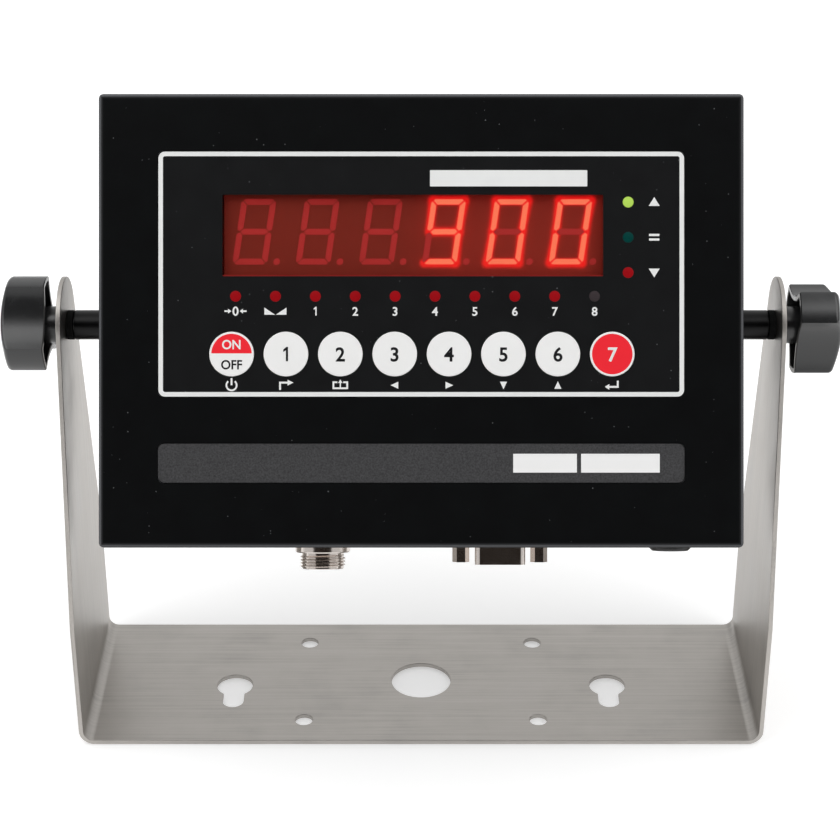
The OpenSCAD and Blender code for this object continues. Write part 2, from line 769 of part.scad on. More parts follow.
// Places of the battery's two terminals, on its upper end
module at_terminals() for (sx = [-1, 1])
    translate([battery_x + sx * (battery_w / 2 - terminal_inset), 0, terminal_z]) children();

module battery() color([0.25, 0.27, 0.3]) on_head() {
    translate([battery_x, 0, battery_z]) plate(cover_inner_y, battery_d)
        polygon(round_rect(battery_w, battery_h, battery_r));
    at_terminals() translate([0, 0, -over / 2]) plate(battery_mid_y + terminal_t / 2, terminal_t)
        square([terminal_w, terminal_h + over], center = true);
}

module at_strap_feet() for (sx = [-1, 1])
    translate([battery_x + sx * (strap_span + strap_foot) / 2, 0, battery_z]) children();

module battery_bracket() color("silver") on_head() difference() {
    outer = strap_span / 2;
    inner = battery_w / 2;
    end = outer + strap_foot;
    front = strap_front_y;
    foot = cover_inner_y - pad_t - strap_t;
    translate([battery_x, 0, battery_z - strap_w / 2]) linear_extrude(strap_w) polygon([
        [-end, foot], [-outer, foot], [-outer, front], [outer, front], [outer, foot], [end, foot],
        [end, foot + strap_t], [inner, foot + strap_t], [inner, front + strap_t],
        [-inner, front + strap_t], [-inner, foot + strap_t], [-end, foot + strap_t]
    ]);
    at_strap_feet() rod(0, 0, board_bore_d, foot + strap_t + over, strap_t + 2 * over);
}

module battery_screws() color("silver") on_head() at_strap_feet()
    front_screw(board_screw_d, board_head_d, board_head_t, cover_inner_y - pad_t - strap_t,
        strap_t + pad_t - over / 2);

module at_charger_screws() translate([charger_x, 0, charger_z])
    at_corners(charger_w - 2 * charger_hole_inset, charger_h - 2 * charger_hole_inset) children();

module charger_board() color("darkgreen") on_head() {
    difference() {
        translate([charger_x, 0, charger_z]) plate(charger_front_y + board_t, board_t)
            square([charger_w, charger_h], center = true);
        at_charger_screws() rod(0, 0, board_bore_d, charger_front_y + board_t + over, board_t + 2 * over);
    }
    rod(charger_x, charger_z + charger_coil_z, charger_coil_d, charger_front_y + board_t / 2,
        charger_coil_t + board_t / 2);
}

module charger_screws() color("silver") on_head() at_charger_screws()
    front_screw(board_screw_d, board_head_d, board_head_t, charger_front_y,
        board_t + charger_stand - over / 2);

module cell_socket() color("silver") on_head() difference() {
    union() {
        post(cell_x, 0, case_under_z - cell_out, cell_d, cell_out + wall_t + cell_inside);
        post(cell_x, 0, case_under_z - cell_flange_t, cell_flange_d, cell_flange_t);
    }
    post(cell_x, 0, case_under_z - cell_out - over, cell_bore_d, cell_out + wall_t + cell_inside + 2 * over);
}

module cell_insert() color([0.1, 0.1, 0.1]) on_head() {
    post(cell_x, 0, case_under_z - cell_out + cell_insert_recess, cell_bore_d,
        cell_out - cell_insert_recess + wall_t + cell_inside);
    for (i = [0:cell_pin_count - 1]) translate([cell_x, 0, 0]) rotate(360 * i / cell_pin_count)
        post(cell_pin_ring_d / 2, 0, case_under_z - cell_out + cell_insert_recess - cell_pin_len, cell_pin_d,
            cell_pin_len + over);
}

module cell_nut() color("silver") on_head() difference() {
    hex_post(cell_x, 0, case_inner_z, cell_nut_af, cell_nut_t);
    post(cell_x, 0, case_inner_z - over, cell_d + 2 * shaft_play, cell_nut_t + 2 * over);
}

// Outline of the serial socket: a rectangle with round corners and slanting ends, wide side to the front
function socket_outline(w, h, r) = let (lean = (h - 2 * r) * tan(serial_slant)) concat(
    arc(w / 2 - r, -h / 2 + r, r, 270, 360 + serial_slant, quarter_steps),
    arc(w / 2 - r - lean, h / 2 - r, r, serial_slant, 90, quarter_steps),
    arc(-w / 2 + r + lean, h / 2 - r, r, 90, 180 - serial_slant, quarter_steps),
    arc(-w / 2 + r, -h / 2 + r, r, 180 - serial_slant, 270, quarter_steps)
);

module at_serial() on_head() translate([serial_x, 0, case_under_z]) children();

module serial_shell() color("silver") at_serial() translate([0, 0, -serial_out]) difference() {
    union() {
        linear_extrude(serial_out - serial_flange_t / 2)
            polygon(socket_outline(serial_w, serial_h, serial_shell_r));
        translate([0, 0, serial_out - serial_flange_t]) linear_extrude(serial_flange_t)
            polygon(round_rect(serial_flange_w, serial_flange_h, serial_body_r));
    }
    translate([0, 0, -over]) linear_extrude(serial_out + 2 * over) polygon(socket_outline(
        serial_w - 2 * serial_shell_t, serial_h - 2 * serial_shell_t, serial_shell_r - serial_shell_t));
    for (sx = [-1, 1]) post(sx * post_spacing / 2, 0, 0, post_stud_d + fit_gap, serial_out + over);
}

// A row of pin holes in the serial socket's face
module pin_holes(count, y) for (i = [0:count - 1])
    post((i - (count - 1) / 2) * serial_pin_pitch, y, -serial_out - over, serial_pin_d,
        serial_pin_depth + over);

module serial_insert() color([0.12, 0.12, 0.13]) at_serial() difference() {
    union() {
        translate([0, 0, -serial_out]) linear_extrude(serial_out + wall_t) polygon(socket_outline(
            serial_w - 2 * serial_shell_t - fit_gap, serial_h - 2 * serial_shell_t - fit_gap,
            serial_shell_r - serial_shell_t - fit_gap / 2));
        linear_extrude(serial_body_t) polygon(round_rect(serial_body_w, serial_body_h, serial_body_r));
    }
    pin_holes(serial_front_pins, -serial_row_gap / 2);
    pin_holes(serial_rear_pins, serial_row_gap / 2);
}

module serial_posts() color("silver") at_serial() for (sx = [-1, 1])
    translate([sx * post_spacing / 2, 0, -post_len]) difference() {
        union() {
            hex_post(0, 0, 0, post_af, post_len - serial_flange_t);
            post(0, 0, post_bore_t + over, post_stud_d, post_len - post_bore_t - over + post_stud_len);
        }
        post(0, 0, -over, post_bore_d, post_bore_t + over);
    }

module power_inlet() color([0.06, 0.06, 0.06]) on_head() translate([inlet_x, 0, case_under_z]) {
    difference() {
        union() {
            rotate_extrude() polygon([
                [0, 0], [inlet_d / 2, 0], [inlet_d / 2, -inlet_out + inlet_dome],
                [inlet_d / 2 - inlet_dome, -inlet_out], [0, -inlet_out]
            ]);
            post(0, 0, -inlet_out / 2, inlet_stem_d, inlet_out / 2 + wall_t + inlet_inside);
        }
        post(0, 0, -inlet_out - over, inlet_bore_d, inlet_bore_t + over);
    }
    post(0, 0, -inlet_out + over, inlet_pin_d, inlet_bore_t);
}

module inlet_nut() color("silver") on_head() difference() {
    hex_post(inlet_x, 0, case_inner_z, inlet_nut_af, inlet_nut_t);
    post(inlet_x, 0, case_inner_z - over, inlet_stem_d + 2 * shaft_play, inlet_nut_t + 2 * over);
}

module pivot_stud(side) color("silver") on_head() on_side(side) axle(stud_d, stud_inner_x, stud_outer_x);

module stud_nut(side) color("silver") on_head() on_side(side) difference() {
    translate([nut_outer_x - nut_t, 0, 0]) rotate([0, 90, 0]) hex_post(0, 0, 0, nut_af, nut_t);
    axle(stud_d + 2 * shaft_play, nut_outer_x - nut_t - over, nut_outer_x + over);
}

module spacer(side) color([0.1, 0.1, 0.11]) on_head() on_side(side)
    sleeve(spacer_d, stud_d + 2 * shaft_play, case_side_x, spacer_outer_x);

// A knob's outline drawn in from its edge by inset, as a solid between two distances from the middle plane
module lobed(inset, x_from, x_to) {
    half_gap = 180 / lobe_count - lobe_angle / 2;
    chord = knob_r * sin(half_gap);
    sag = knob_r * cos(half_gap) - knob_waist_r;
    hollow_r = (pow(chord, 2) + pow(sag, 2)) / (2 * sag);
    difference() {
        axle(2 * (knob_r - inset), x_from, x_to);
        for (i = [1:lobe_count]) rotate([(i - 1 / 2) * 360 / lobe_count, 0, 0])
            translate([0, knob_waist_r + hollow_r, 0])
                axle(2 * (hollow_r + inset), x_from - over, x_to + over);
    }
}

// A clamping knob with three lobes, hollow behind, its first lobe turned up from the front by turn degrees
module knob(side, turn) color([0.2, 0.2, 0.21]) on_head() on_side(side)
rotate([180 - turn, 0, 0]) difference() {
    dome_r = (pow(knob_r, 2) + pow(knob_dome, 2)) / (2 * knob_dome);
    union() {
        difference() {
            intersection() {
                lobed(0, knob_rim_x, knob_top_x + over);
                translate([knob_top_x - dome_r, 0, 0]) sphere(dome_r, $fn = dome_steps);
            }
            lobed(knob_wall, knob_rim_x - over, knob_edge_x - knob_web_t);
        }
        axle(hub_d, knob_hub_x, knob_edge_x - knob_web_t / 2);
    }
    axle(insert_d, knob_hub_x - over, knob_hub_x + insert_inset + insert_t);
}

module knob_insert(side) color("goldenrod") on_head() on_side(side) difference() {
    foot_x = knob_hub_x + insert_inset;
    axle(insert_d, foot_x, foot_x + insert_t);
    axle(stud_d + 2 * shaft_play, foot_x - over, foot_x + insert_t - over / 2);
}

bracket();
washer(-1);  // washer_left
washer(1);  // washer_right
front_case();
rear_cover();
cover_gasket();
cover_screws();
keypad_film();
display_window();
label_strip();
label_fields();
display_board();
display_board_screws();
digit_modules();
status_lamps();
limit_lamps();
key_switches();
switch_domes();
key(0);  // key_1
key(1);  // key_2
key(2);  // key_3
key(3);  // key_4
key(4);  // key_5
key(5);  // key_6
key(6);  // key_7
key(7);  // key_8
main_board();
main_board_screws();
main_board_parts();
board_link();
wire_headers();
socket_wires();
battery();
battery_bracket();
battery_screws();
charger_board();
charger_screws();
cell_socket();
cell_insert();
cell_nut();
serial_shell();
serial_insert();
serial_posts();
power_inlet();
inlet_nut();
pivot_stud(-1);  // stud_left
pivot_stud(1);  // stud_right
stud_nut(-1);  // stud_nut_left
stud_nut(1);  // stud_nut_right
spacer(-1);  // spacer_left
spacer(1);  // spacer_right
knob(-1, left_knob_turn);  // knob_left
knob(1, right_knob_turn);  // knob_right
knob_insert(-1);  // knob_insert_left
knob_insert(1);  // knob_insert_right
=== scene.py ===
"""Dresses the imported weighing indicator: its visible pieces, their finishes, the studio and the camera.

Pieces of the tilted head are drawn in the head's own frame, with x to the right, y to the back, z up and the
origin on the pivot line. Pieces of the stand are drawn in the part's frame. Both are drawn in millimetres.
"""
import json
import logging
import math
from dataclasses import dataclass, field
from enum import Enum
from typing import Any, Iterable, Sequence

import bmesh
import bpy
from mathutils import Matrix, Vector


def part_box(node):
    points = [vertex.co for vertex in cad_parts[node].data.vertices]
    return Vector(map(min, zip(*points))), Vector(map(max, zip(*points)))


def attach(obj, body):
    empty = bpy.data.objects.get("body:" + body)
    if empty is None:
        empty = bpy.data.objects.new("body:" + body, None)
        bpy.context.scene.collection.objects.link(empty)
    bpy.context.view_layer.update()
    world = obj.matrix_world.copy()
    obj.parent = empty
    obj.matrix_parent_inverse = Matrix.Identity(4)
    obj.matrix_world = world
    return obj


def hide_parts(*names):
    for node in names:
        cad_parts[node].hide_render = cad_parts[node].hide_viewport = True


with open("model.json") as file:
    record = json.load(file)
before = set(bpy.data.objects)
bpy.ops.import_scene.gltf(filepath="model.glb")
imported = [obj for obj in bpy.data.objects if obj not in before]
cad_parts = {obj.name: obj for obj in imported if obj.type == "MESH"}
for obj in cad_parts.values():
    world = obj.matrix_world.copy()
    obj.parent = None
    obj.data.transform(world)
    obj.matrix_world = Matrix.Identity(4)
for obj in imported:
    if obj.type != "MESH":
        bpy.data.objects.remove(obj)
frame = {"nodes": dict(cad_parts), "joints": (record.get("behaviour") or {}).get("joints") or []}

MM = 0.001
WELD_GAP = 0.00001
"""Points of a CAD node nearer than this, in metres, are joined before its edges are rounded."""
SOFT_ANGLE = 50
"""Edges sharper than this, in degrees, are rounded."""
SOFT_STEPS = 2
"""Steps of a rounded edge."""
JOIN_GAP = 0.0005
"""Points of a made piece nearer than this, in millimetres, are joined."""
STEPS, FINE_STEPS = 32, 64
"""Steps of a small round shape and of a larger one."""
LOG = logging.getLogger("indicator")

Point = tuple[float, float]
Point3 = tuple[float, float, float]
Outline = list[Point]
Mesh = bmesh.types.BMesh
Socket = bpy.types.NodeSocket
Material = bpy.types.Material
Colour = tuple[int, int, int]


class Along(Enum):
    """The direction of a turned piece's axis."""

    X = "x"
    Y = "y"
    Z = "z"


class Side(Enum):
    """A side of the indicator, with its sign along x."""

    LEFT = -1
    RIGHT = 1


def linear(colour: Colour, alpha: float = 1.0) -> tuple[float, float, float, float]:
    """Turns a display colour into the linear one that shaders use.

    Args:
        colour: Red, green and blue from 0 to 255.
        alpha: The fourth channel.

    Returns:
        The linear colour with its alpha.
    """
    low_end, low_slope, lift, scale, power = 0.04045, 12.92, 0.055, 1.055, 2.4
    shares = [channel / 255 for channel in colour]
    channels = [s / low_slope if s <= low_end else ((s + lift) / scale) ** power for s in shares]
    return channels[0], channels[1], channels[2], alpha


class Value:
    """A shader socket that takes part in Python sums and products of single numbers."""

    def __init__(self, graph: "Graph", socket: Socket) -> None:
        """Keeps the socket and the graph that it belongs to."""
        self.graph = graph
        self.socket = socket

    def _math(self, operation: str, first: Any, second: Any) -> "Value":
        """Adds one Math node.

        Args:
            operation: The node's operation.
            first: Its first number or value.
            second: Its second number or value.

        Returns:
            The node's result.
        """
        node = self.graph.add("ShaderNodeMath", {"operation": operation}, {0: first, 1: second})
        return Value(self.graph, node.outputs[0])

    def __add__(self, other: Any) -> "Value":
        """Returns the sum."""
        return self._math("ADD", self, other)

    __radd__ = __add__

    def __sub__(self, other: Any) -> "Value":
        """Returns the difference."""
        return self._math("SUBTRACT", self, other)

    def __rsub__(self, other: Any) -> "Value":
        """Returns the difference from a plain number."""
        return self._math("SUBTRACT", other, self)

    def __mul__(self, other: Any) -> "Value":
        """Returns the product."""
        return self._math("MULTIPLY", self, other)

    __rmul__ = __mul__

    def __truediv__(self, other: Any) -> "Value":
        """Returns the quotient."""
        return self._math("DIVIDE", self, other)

    def __lt__(self, other: Any) -> "Value":
        """Returns 1 where this value is the smaller one."""
        return self._math("LESS_THAN", self, other)

    def __gt__(self, other: Any) -> "Value":
        """Returns 1 where this value is the greater one."""
        return self._math("GREATER_THAN", self, other)

    def larger(self, other: Any) -> "Value":
        """Returns the larger of the two values."""
        return self._math("MAXIMUM", self, other)

    def __abs__(self) -> "Value":
        """Returns the value without its sign."""
        return self._math("ABSOLUTE", self, 0.0)

    def clamped(self) -> "Value":
        """Returns the value held between 0 and 1."""
        node = self.graph.add("ShaderNodeClamp", {}, {"Value": self})
        return Value(self.graph, node.outputs[0])


class Graph:
    """The shader nodes of one material or of the world."""

    def __init__(self, owner: bpy.types.ID, ending: str = "ShaderNodeOutputMaterial") -> None:
        """Empties the owner's nodes and adds the last one.

        Args:
            owner: The material or the world.
            ending: Type of the last node.
        """
        self.owner = owner
        self.owner.use_nodes = True
        self.tree = self.owner.node_tree
        self.tree.nodes.clear()
        self.output = self.add(ending, {}, {})

    def end(self, shader: bpy.types.Node) -> None:
        """Links a shader to the last node."""
        self.tree.links.new(shader.outputs[0], self.output.inputs[0])

    def add(self, kind: str, settings: dict[str, Any], sockets: dict[Any, Any]) -> bpy.types.Node:
        """Adds a node.

        Args:
            kind: The node's type.
            settings: Its properties, set first. The key "stops" holds a colour ramp's places and colours.
            sockets: Its inputs by name or number, each a value, a link's socket or a Value.

        Returns:
            The new node.
        """
        node = self.tree.nodes.new(kind)
        for key, setting in settings.items():
            if key == "stops":
                self._set_stops(node.color_ramp, setting)
            else:
                setattr(node, key, setting)
        for key, given in sockets.items():
            source = given.socket if isinstance(given, Value) else given
            if isinstance(source, Socket):
                self.tree.links.new(source, node.inputs[key])
            else:
                node.inputs[key].default_value = source
        return node

    @staticmethod
    def _set_stops(ramp: bpy.types.ColorRamp, stops: Sequence[tuple[float, Colour]]) -> None:
        """Gives a colour ramp its stops.

        Args:
            ramp: The ramp to set.
            stops: Places from 0 to 1 with their colours.
        """
        while len(ramp.elements) < len(stops):
            ramp.elements.new(0.5)
        for element, (place, colour) in zip(ramp.elements, stops):
            element.position = place
            element.color = linear(colour)

    def place(self, sizes: Sequence[float] = (1.0, 1.0, 1.0)) -> Socket:
        """Returns the point on the object in millimetres, divided by a size in each direction.

        Args:
            sizes: Millimetres for one step of the pattern along x, y and z.

        Returns:
            A vector socket.
        """
        where = self.add("ShaderNodeTexCoord", {}, {}).outputs["Object"]
        return self.stretched(where, [1 / (MM * size) for size in sizes])

    def stretched(self, vector: Socket, scales: Sequence[float]) -> Socket:
        """Returns a vector times a scale in each direction."""
        return self.add("ShaderNodeVectorMath", {"operation": "MULTIPLY"}, {0: vector, 1: scales}).outputs[0]

    def aligned(self, axis: Point3) -> Value:
        """Returns how nearly the surface faces along an axis of the object, from 0 to 1.

        Args:
            axis: The axis, one unit long.

        Returns:
            A share.
        """
        normal = self.add("ShaderNodeTexCoord", {}, {}).outputs["Normal"]
        node = self.add("ShaderNodeVectorMath", {"operation": "DOT_PRODUCT"}, {0: normal, 1: axis})
        return abs(Value(self, node.outputs["Value"]))

    def noise(self, vector: Socket, detail: float = 2.0) -> Value:
        """Returns smooth noise from 0 to 1 with one step for each unit of the vector."""
        node = self.add("ShaderNodeTexNoise", {}, {"Vector": vector, "Scale": 1.0, "Detail": detail})
        return Value(self, node.outputs[0])

    def specks(self, cell: float, size: float) -> Value:
        """Returns sparse specks of many sizes.

        Args:
            cell: Millimetres from speck to speck.
            size: Greatest radius of a speck, as a share of the cell.

        Returns:
            1 on a speck and 0 elsewhere.
        """
        node = self.add("ShaderNodeTexVoronoi", {}, {"Vector": self.place([cell] * 3), "Scale": 1.0})
        parts = self.add("ShaderNodeSeparateColor", {}, {"Color": node.outputs["Color"]})
        luck = Value(self, parts.outputs[0])
        return Value(self, node.outputs["Distance"]) < luck * luck * luck * size

    def mixed(self, share: Any, first: Any, second: Any) -> Socket:
        """Returns a colour between two colours.

        Args:
            share: How much of the second colour there is.
            first: The first colour, linear, or its socket.
            second: The second colour, linear, or its socket.

        Returns:
            The colour's socket.
        """
        node = self.add("ShaderNodeMix", {"data_type": "RGBA"}, {0: share, 6: first, 7: second})
        return node.outputs[2]

    def ramp(self, share: Value, stops: Sequence[tuple[float, Colour]]) -> Socket:
        """Returns the colour of a ramp at a value."""
        return self.add("ShaderNodeValToRGB", {"stops": stops}, {0: share}).outputs[0]

    def bump(self, height: Value, depth: float) -> Socket:
        """Returns a normal bent by a height.

        Args:
            height: The height from 0 to 1.
            depth: Millimetres from 0 to 1.

        Returns:
            The normal's socket.
        """
        return self.add("ShaderNodeBump", {}, {"Height": height, "Distance": depth * MM}).outputs[0]

    def surface(self, sockets: dict[str, Any]) -> Material:
        """Ends the graph with a Principled shader.

        Args:
            sockets: The shader's inputs.

        Returns:
            The finished material.
        """
        self.end(self.add("ShaderNodeBsdfPrincipled", {}, sockets))
        return self.owner


@dataclass(frozen=True)
class Finish:
    """A moulded, painted, printed or plated surface with fine variation.

    Attributes:
        name: The finish's name.
        colour: Its colour as displayed.
        roughness: How dull it is, from 0 to 1.
        metallic: 1 on bare metal.
        specular: Strength of its reflection where it isn't metal.
        mottle: Share by which its colour wanders.
        mottle_size: Millimetres from patch to patch.
        grain: Height of its fine texture in millimetres.
        grain_size: Millimetres from grain to grain.
        dust: Greatest radius of the dust specks, as a share of their spacing.
        coat: Weight of a clear coat.
    """

    name: str
    colour: Colour
    roughness: float = 0.5
    metallic: float = 0.0
    specular: float = 0.5
    mottle: float = 0.08
    mottle_size: float = 9.0
    grain: float = 0.01
    grain_size: float = 0.35
    dust: float = 0.0
    coat: float = 0.0

    def material(self) -> Material:
        """Returns this finish's material, made once."""
        full_name = f"finish_{self.name}"
        return bpy.data.materials.get(full_name) or self.build(Graph(bpy.data.materials.new(full_name)))

    def build(self, graph: Graph) -> Material:
        """Fills the graph with this finish's nodes.

        Args:
            graph: An empty graph.

        Returns:
            The finished material.
        """
        return graph.surface(self.sockets(graph))

    def sockets(self, graph: Graph) -> dict[str, Any]:
        """Works out the shader's inputs.

        Args:
            graph: The graph that takes the nodes.

        Returns:
            The inputs of a Principled shader.
        """
        patches = graph.noise(graph.place([self.mottle_size] * 3), 4.0)
        dark = linear(tuple(int(c * (1 - self.mottle)) for c in self.colour))
        light = linear(tuple(min(255, int(c * (1 + self.mottle))) for c in self.colour))
        colour = graph.mixed(patches, dark, light)
        grains = graph.noise(graph.place([self.grain_size] * 3), 2.0)
        if self.dust:
            colour = graph.mixed(graph.specks(DUST_CELL, self.dust), colour, linear(DUST_COLOUR))
        return {
            "Base Color": colour,
            "Roughness": (self.roughness + (patches - 0.5) * ROUGHNESS_DRIFT).clamped(),
            "Metallic": self.metallic,
            "Specular IOR Level": self.specular,
            "Coat Weight": self.coat,
            "Normal": graph.bump(grains, self.grain),
        }


DUST_CELL = 2.2
DUST_COLOUR: Colour = (104, 106, 108)
ROUGHNESS_DRIFT = 0.12


@dataclass(frozen=True)
class EdgeHighlightPaint(Finish):
    """Paint with a painted highlight along its rounded edges, mixed into its colour.

    Attributes:
        painted_highlight: Colour of the painted highlight on the rounded edges.
        lean: How far the painted box leans back, in degrees.
    """

    painted_highlight: Colour = (92, 93, 96)
    lean: float = 28.0

    def sockets(self, graph: Graph) -> dict[str, Any]:
        """Works out the shader's inputs, with the painted highlight where the surface faces along none of the
        box's axes.

        Args:
            graph: The graph that takes the nodes.

        Returns:
            The inputs of a Principled shader.
        """
        inputs = super().sockets(graph)
        side, rise = math.cos(math.radians(self.lean)), math.sin(math.radians(self.lean))
        # Painted highlight: a lighter colour is mixed into the base colour wherever the surface is rounded
        # rather than flat.
        flat = graph.aligned((1, 0, 0))
        for axis in ((0, -side, rise), (0, rise, side)):
            flat = flat.larger(graph.aligned(axis))
        edge = ((1 - flat) * HIGHLIGHT_SPREAD - HIGHLIGHT_START).clamped()
        inputs["Base Color"] = graph.mixed(edge, inputs["Base Color"], linear(self.painted_highlight))
        return inputs


# How fast and from where the painted edge highlight comes in.
HIGHLIGHT_SPREAD = 6.0
HIGHLIGHT_START = 0.35


@dataclass(frozen=True)
class BrushedSteel(Finish):
    """Bent stainless sheet, brushed along its length before it was bent.

    Attributes:
        streak_length: Length of a brush mark in millimetres.
        streak_width: Width of a brush mark in millimetres.
        smudge_size: Millimetres from smudge to smudge.
        dark: Its darkest colour.
        light: Its lightest colour.
    """

    streak_length: float = 26.0
    streak_width: float = 0.22
    smudge_size: float = 24.0
    dark: Colour = (150, 147, 144)
    light: Colour = (196, 192, 188)

    def build(self, graph: Graph) -> Material:
        """Fills the graph with brush marks that follow the sheet, longer brush marks and smudges.

        Args:
            graph: An empty graph.

        Returns:
            The finished material.
        """
        flat = graph.add("ShaderNodeAttribute", {"attribute_name": FLAT_PLACE}, {}).outputs["Vector"]
        across = 1 / self.streak_width
        streaks = graph.noise(graph.stretched(flat, (1 / self.streak_length, across, across)), 3.0)
        long_scales = (0.2 / self.streak_length, across / 4, across / 4)
        long_streaks = graph.noise(graph.stretched(flat, long_scales), 2.0)
        smudges = graph.noise(graph.stretched(flat, [1 / self.smudge_size] * 3), 5.0)
        tone = streaks * 0.34 + long_streaks * 0.2 + smudges * 0.46
        colour = graph.ramp(tone, [(0.3, self.dark), (0.5, self.colour), (0.7, self.light)])
        return graph.surface({
            "Base Color": colour,
            "Metallic": self.metallic,
            "Roughness": (self.roughness + (smudges - 0.5) * 0.3 + (streaks - 0.5) * 0.16).clamped(),
            "Normal": graph.bump(streaks, self.grain),
        })


FLAT_PLACE = "flat_place"


@dataclass(frozen=True)
class Glowing(Finish):
    """A lit or unlit lamp or segment, or a part with a painted glow though it is no lamp.

    Attributes:
        glow: Colour that it gives off.
        strength: Strength of that light.
    """

    glow: Colour = (255, 60, 40)
    strength: float = 0.0

    def sockets(self, graph: Graph) -> dict[str, Any]:
        """Works out the shader's inputs, with a slightly uneven glow.

        Args:
            graph: The graph that takes the nodes.

        Returns:
            The inputs of a Principled shader.
        """
        patches = graph.noise(graph.place([self.mottle_size] * 3), 2.0)
        inputs = super().sockets(graph)
        weak = linear(tuple(int(c * 0.93) for c in self.glow))
        inputs["Emission Color"] = graph.mixed(patches, weak, linear(self.glow))
        inputs["Emission Strength"] = self.strength
        return inputs


@dataclass(frozen=True)
class PaintedGlowPlate(Finish):
    """The face of the digit modules, with a painted glow round the lit segments that stands in for the light
    they spill.

    Attributes:
        near: Colour of the painted glow next to a lit segment.
        mid: Colour of the painted glow halfway through the halo.
        far: Colour of the painted glow at the halo's edge.
    """

    near: Colour = (250, 8, 18)
    mid: Colour = (188, 4, 12)
    far: Colour = (84, 2, 4)

    def sockets(self, graph: Graph) -> dict[str, Any]:
        """Works out the shader's inputs, with the painted glow stored in the mesh given off as emission.

        Args:
            graph: The graph that takes the nodes.

        Returns:
            The inputs of a Principled shader.
        """
        inputs = super().sockets(graph)
        node = graph.add("ShaderNodeAttribute", {"attribute_name": HALO}, {})
        halo = Value(graph, node.outputs["Fac"])
        stops = [(0.0, (0, 0, 0)), (0.16, self.far), (0.5, self.mid), (1.0, self.near)]
        # Painted glow: the module face emits light round the lit segments, though it is no lamp.
        inputs["Emission Color"] = graph.ramp(halo, stops)
        inputs["Emission Strength"] = 1.0
        return inputs


HALO = "halo"


@dataclass(frozen=True)
class LitBar(Finish):
    """A lit segment, red at its rim and paler in its middle.

    Attributes:
        rim: Colour of the light at the rim.
        core: Colour of the light in the middle.
        between: Colour of the light between the two.
        drift: How far the colours wander.
        strength: Strength of the light.
    """

    rim: Colour = (255, 8, 20)
    core: Colour = (255, 122, 88)
    between: Colour = (255, 40, 44)
    drift: float = 0.3
    strength: float = 1.3

    def sockets(self, graph: Graph) -> dict[str, Any]:
        """Works out the shader's inputs from the places stored in the mesh.

        Args:
            graph: The graph that takes the nodes.

        Returns:
            The inputs of a Principled shader.
        """
        inputs = super().sockets(graph)
        node = graph.add("ShaderNodeAttribute", {"attribute_name": HALO}, {})
        share = Value(graph, node.outputs["Fac"]) + (graph.noise(graph.place([2.5] * 3)) - 0.5) * self.drift
        stops = [(0.0, self.rim), (0.35, self.between), (0.9, self.core)]
        inputs["Emission Color"] = graph.ramp(share, stops)
        inputs["Emission Strength"] = self.strength
        return inputs


@dataclass(frozen=True)
class TintedPane(Finish):
    """The red pane over the digits, seen through.

    Attributes:
        opacity: Share of light that it stops.
    """

    opacity: float = 0.2

    def sockets(self, graph: Graph) -> dict[str, Any]:
        """Works out the shader's inputs, with a slightly uneven opacity.

        Args:
            graph: The graph that takes the nodes.

        Returns:
            The inputs of a Principled shader.
        """
        inputs = super().sockets(graph)
        haze = graph.noise(graph.place([self.mottle_size] * 3), 2.0)
        inputs["Alpha"] = (haze - 0.5) * 0.06 + self.opacity
        return inputs


# The case's black paint, with a painted highlight on its rounded edges.
CASE_PAINT = EdgeHighlightPaint("case_paint", (12, 13, 14), 0.42, specular=0.08, grain=0.006, grain_size=0.5,
                        dust=0.09)
FILM_BLACK = Finish("film_black", (25, 26, 27), 0.36, specular=0.1, grain=0.004, grain_size=0.6, dust=0.085)
STRIP_GREY = Finish("strip_grey", (47, 47, 48), 0.5, specular=0.3, mottle=0.9, mottle_size=0.5, grain=0.03,
                    grain_size=0.28, dust=0.05)
INK_WHITE = Finish("ink_white", (243, 244, 243), 0.5, specular=0.2, mottle=0.02)
INK_BLACK = Finish("ink_black", (20, 20, 22), 0.5, specular=0.2)
KEY_WHITE = Finish("key_white", (252, 252, 251), 0.42, specular=0.25, mottle=0.015)
KEY_RED = Finish("key_red", (255, 48, 60), 0.42, specular=0.1, mottle=0.02)
LABEL_WHITE = Finish("label_white", (255, 255, 254), 0.55, specular=0.2, mottle=0.01)
PANE_RED = TintedPane("pane_red", (112, 22, 18), 0.12, specular=0.25, opacity=0.16, grain=0.0)
# The modules' faces: their own red, with a painted glow round the lit segments.
MODULE_RED = PaintedGlowPlate("module_red", (142, 54, 40), 0.5, specular=0.1, mottle=0.05, mottle_size=30.0)
# Unlit segments: their own red, plus a painted glow although they are not lit.
SEGMENT_OFF = Glowing("segment_off", (182, 58, 56), 0.5, specular=0.1, glow=(114, 22, 20), strength=1.0)
SEGMENT_ON = LitBar("segment_on", (40, 10, 8), 0.5, specular=0.1)
# A painted glow for the line along the window's foot, though no lamp is there.
EDGE_GLOW = Glowing("edge_glow", (120, 30, 26), 0.4, specular=0.1, glow=(74, 12, 12), strength=1.0)
LAMP_RED = Glowing("lamp_red", (128, 10, 18), 0.35, specular=0.1, glow=(122, 8, 12), strength=0.6)
LAMP_GREY = Glowing("lamp_grey", (62, 55, 57), 0.35, specular=0.1, strength=0.0)
LAMP_GREEN = Glowing("lamp_green", (150, 185, 84), 0.35, specular=0.1, glow=(140, 165, 60), strength=0.7)
LAMP_TEAL = Glowing("lamp_teal", (2, 62, 58), 0.35, specular=0.1, strength=0.0)
STEEL = BrushedSteel("brushed_steel", (180, 176, 171), 0.42, metallic=1.0, grain=0.006)
KNOB_PLASTIC = Finish("knob_plastic", (36, 37, 38), 0.24, specular=0.68, mottle=0.1, mottle_size=3.0,
                      grain=0.012,
                      grain_size=0.7, dust=0.06)
SLEEVE_PLASTIC = Finish("sleeve_plastic", (9, 9, 11), 0.3, specular=0.22)
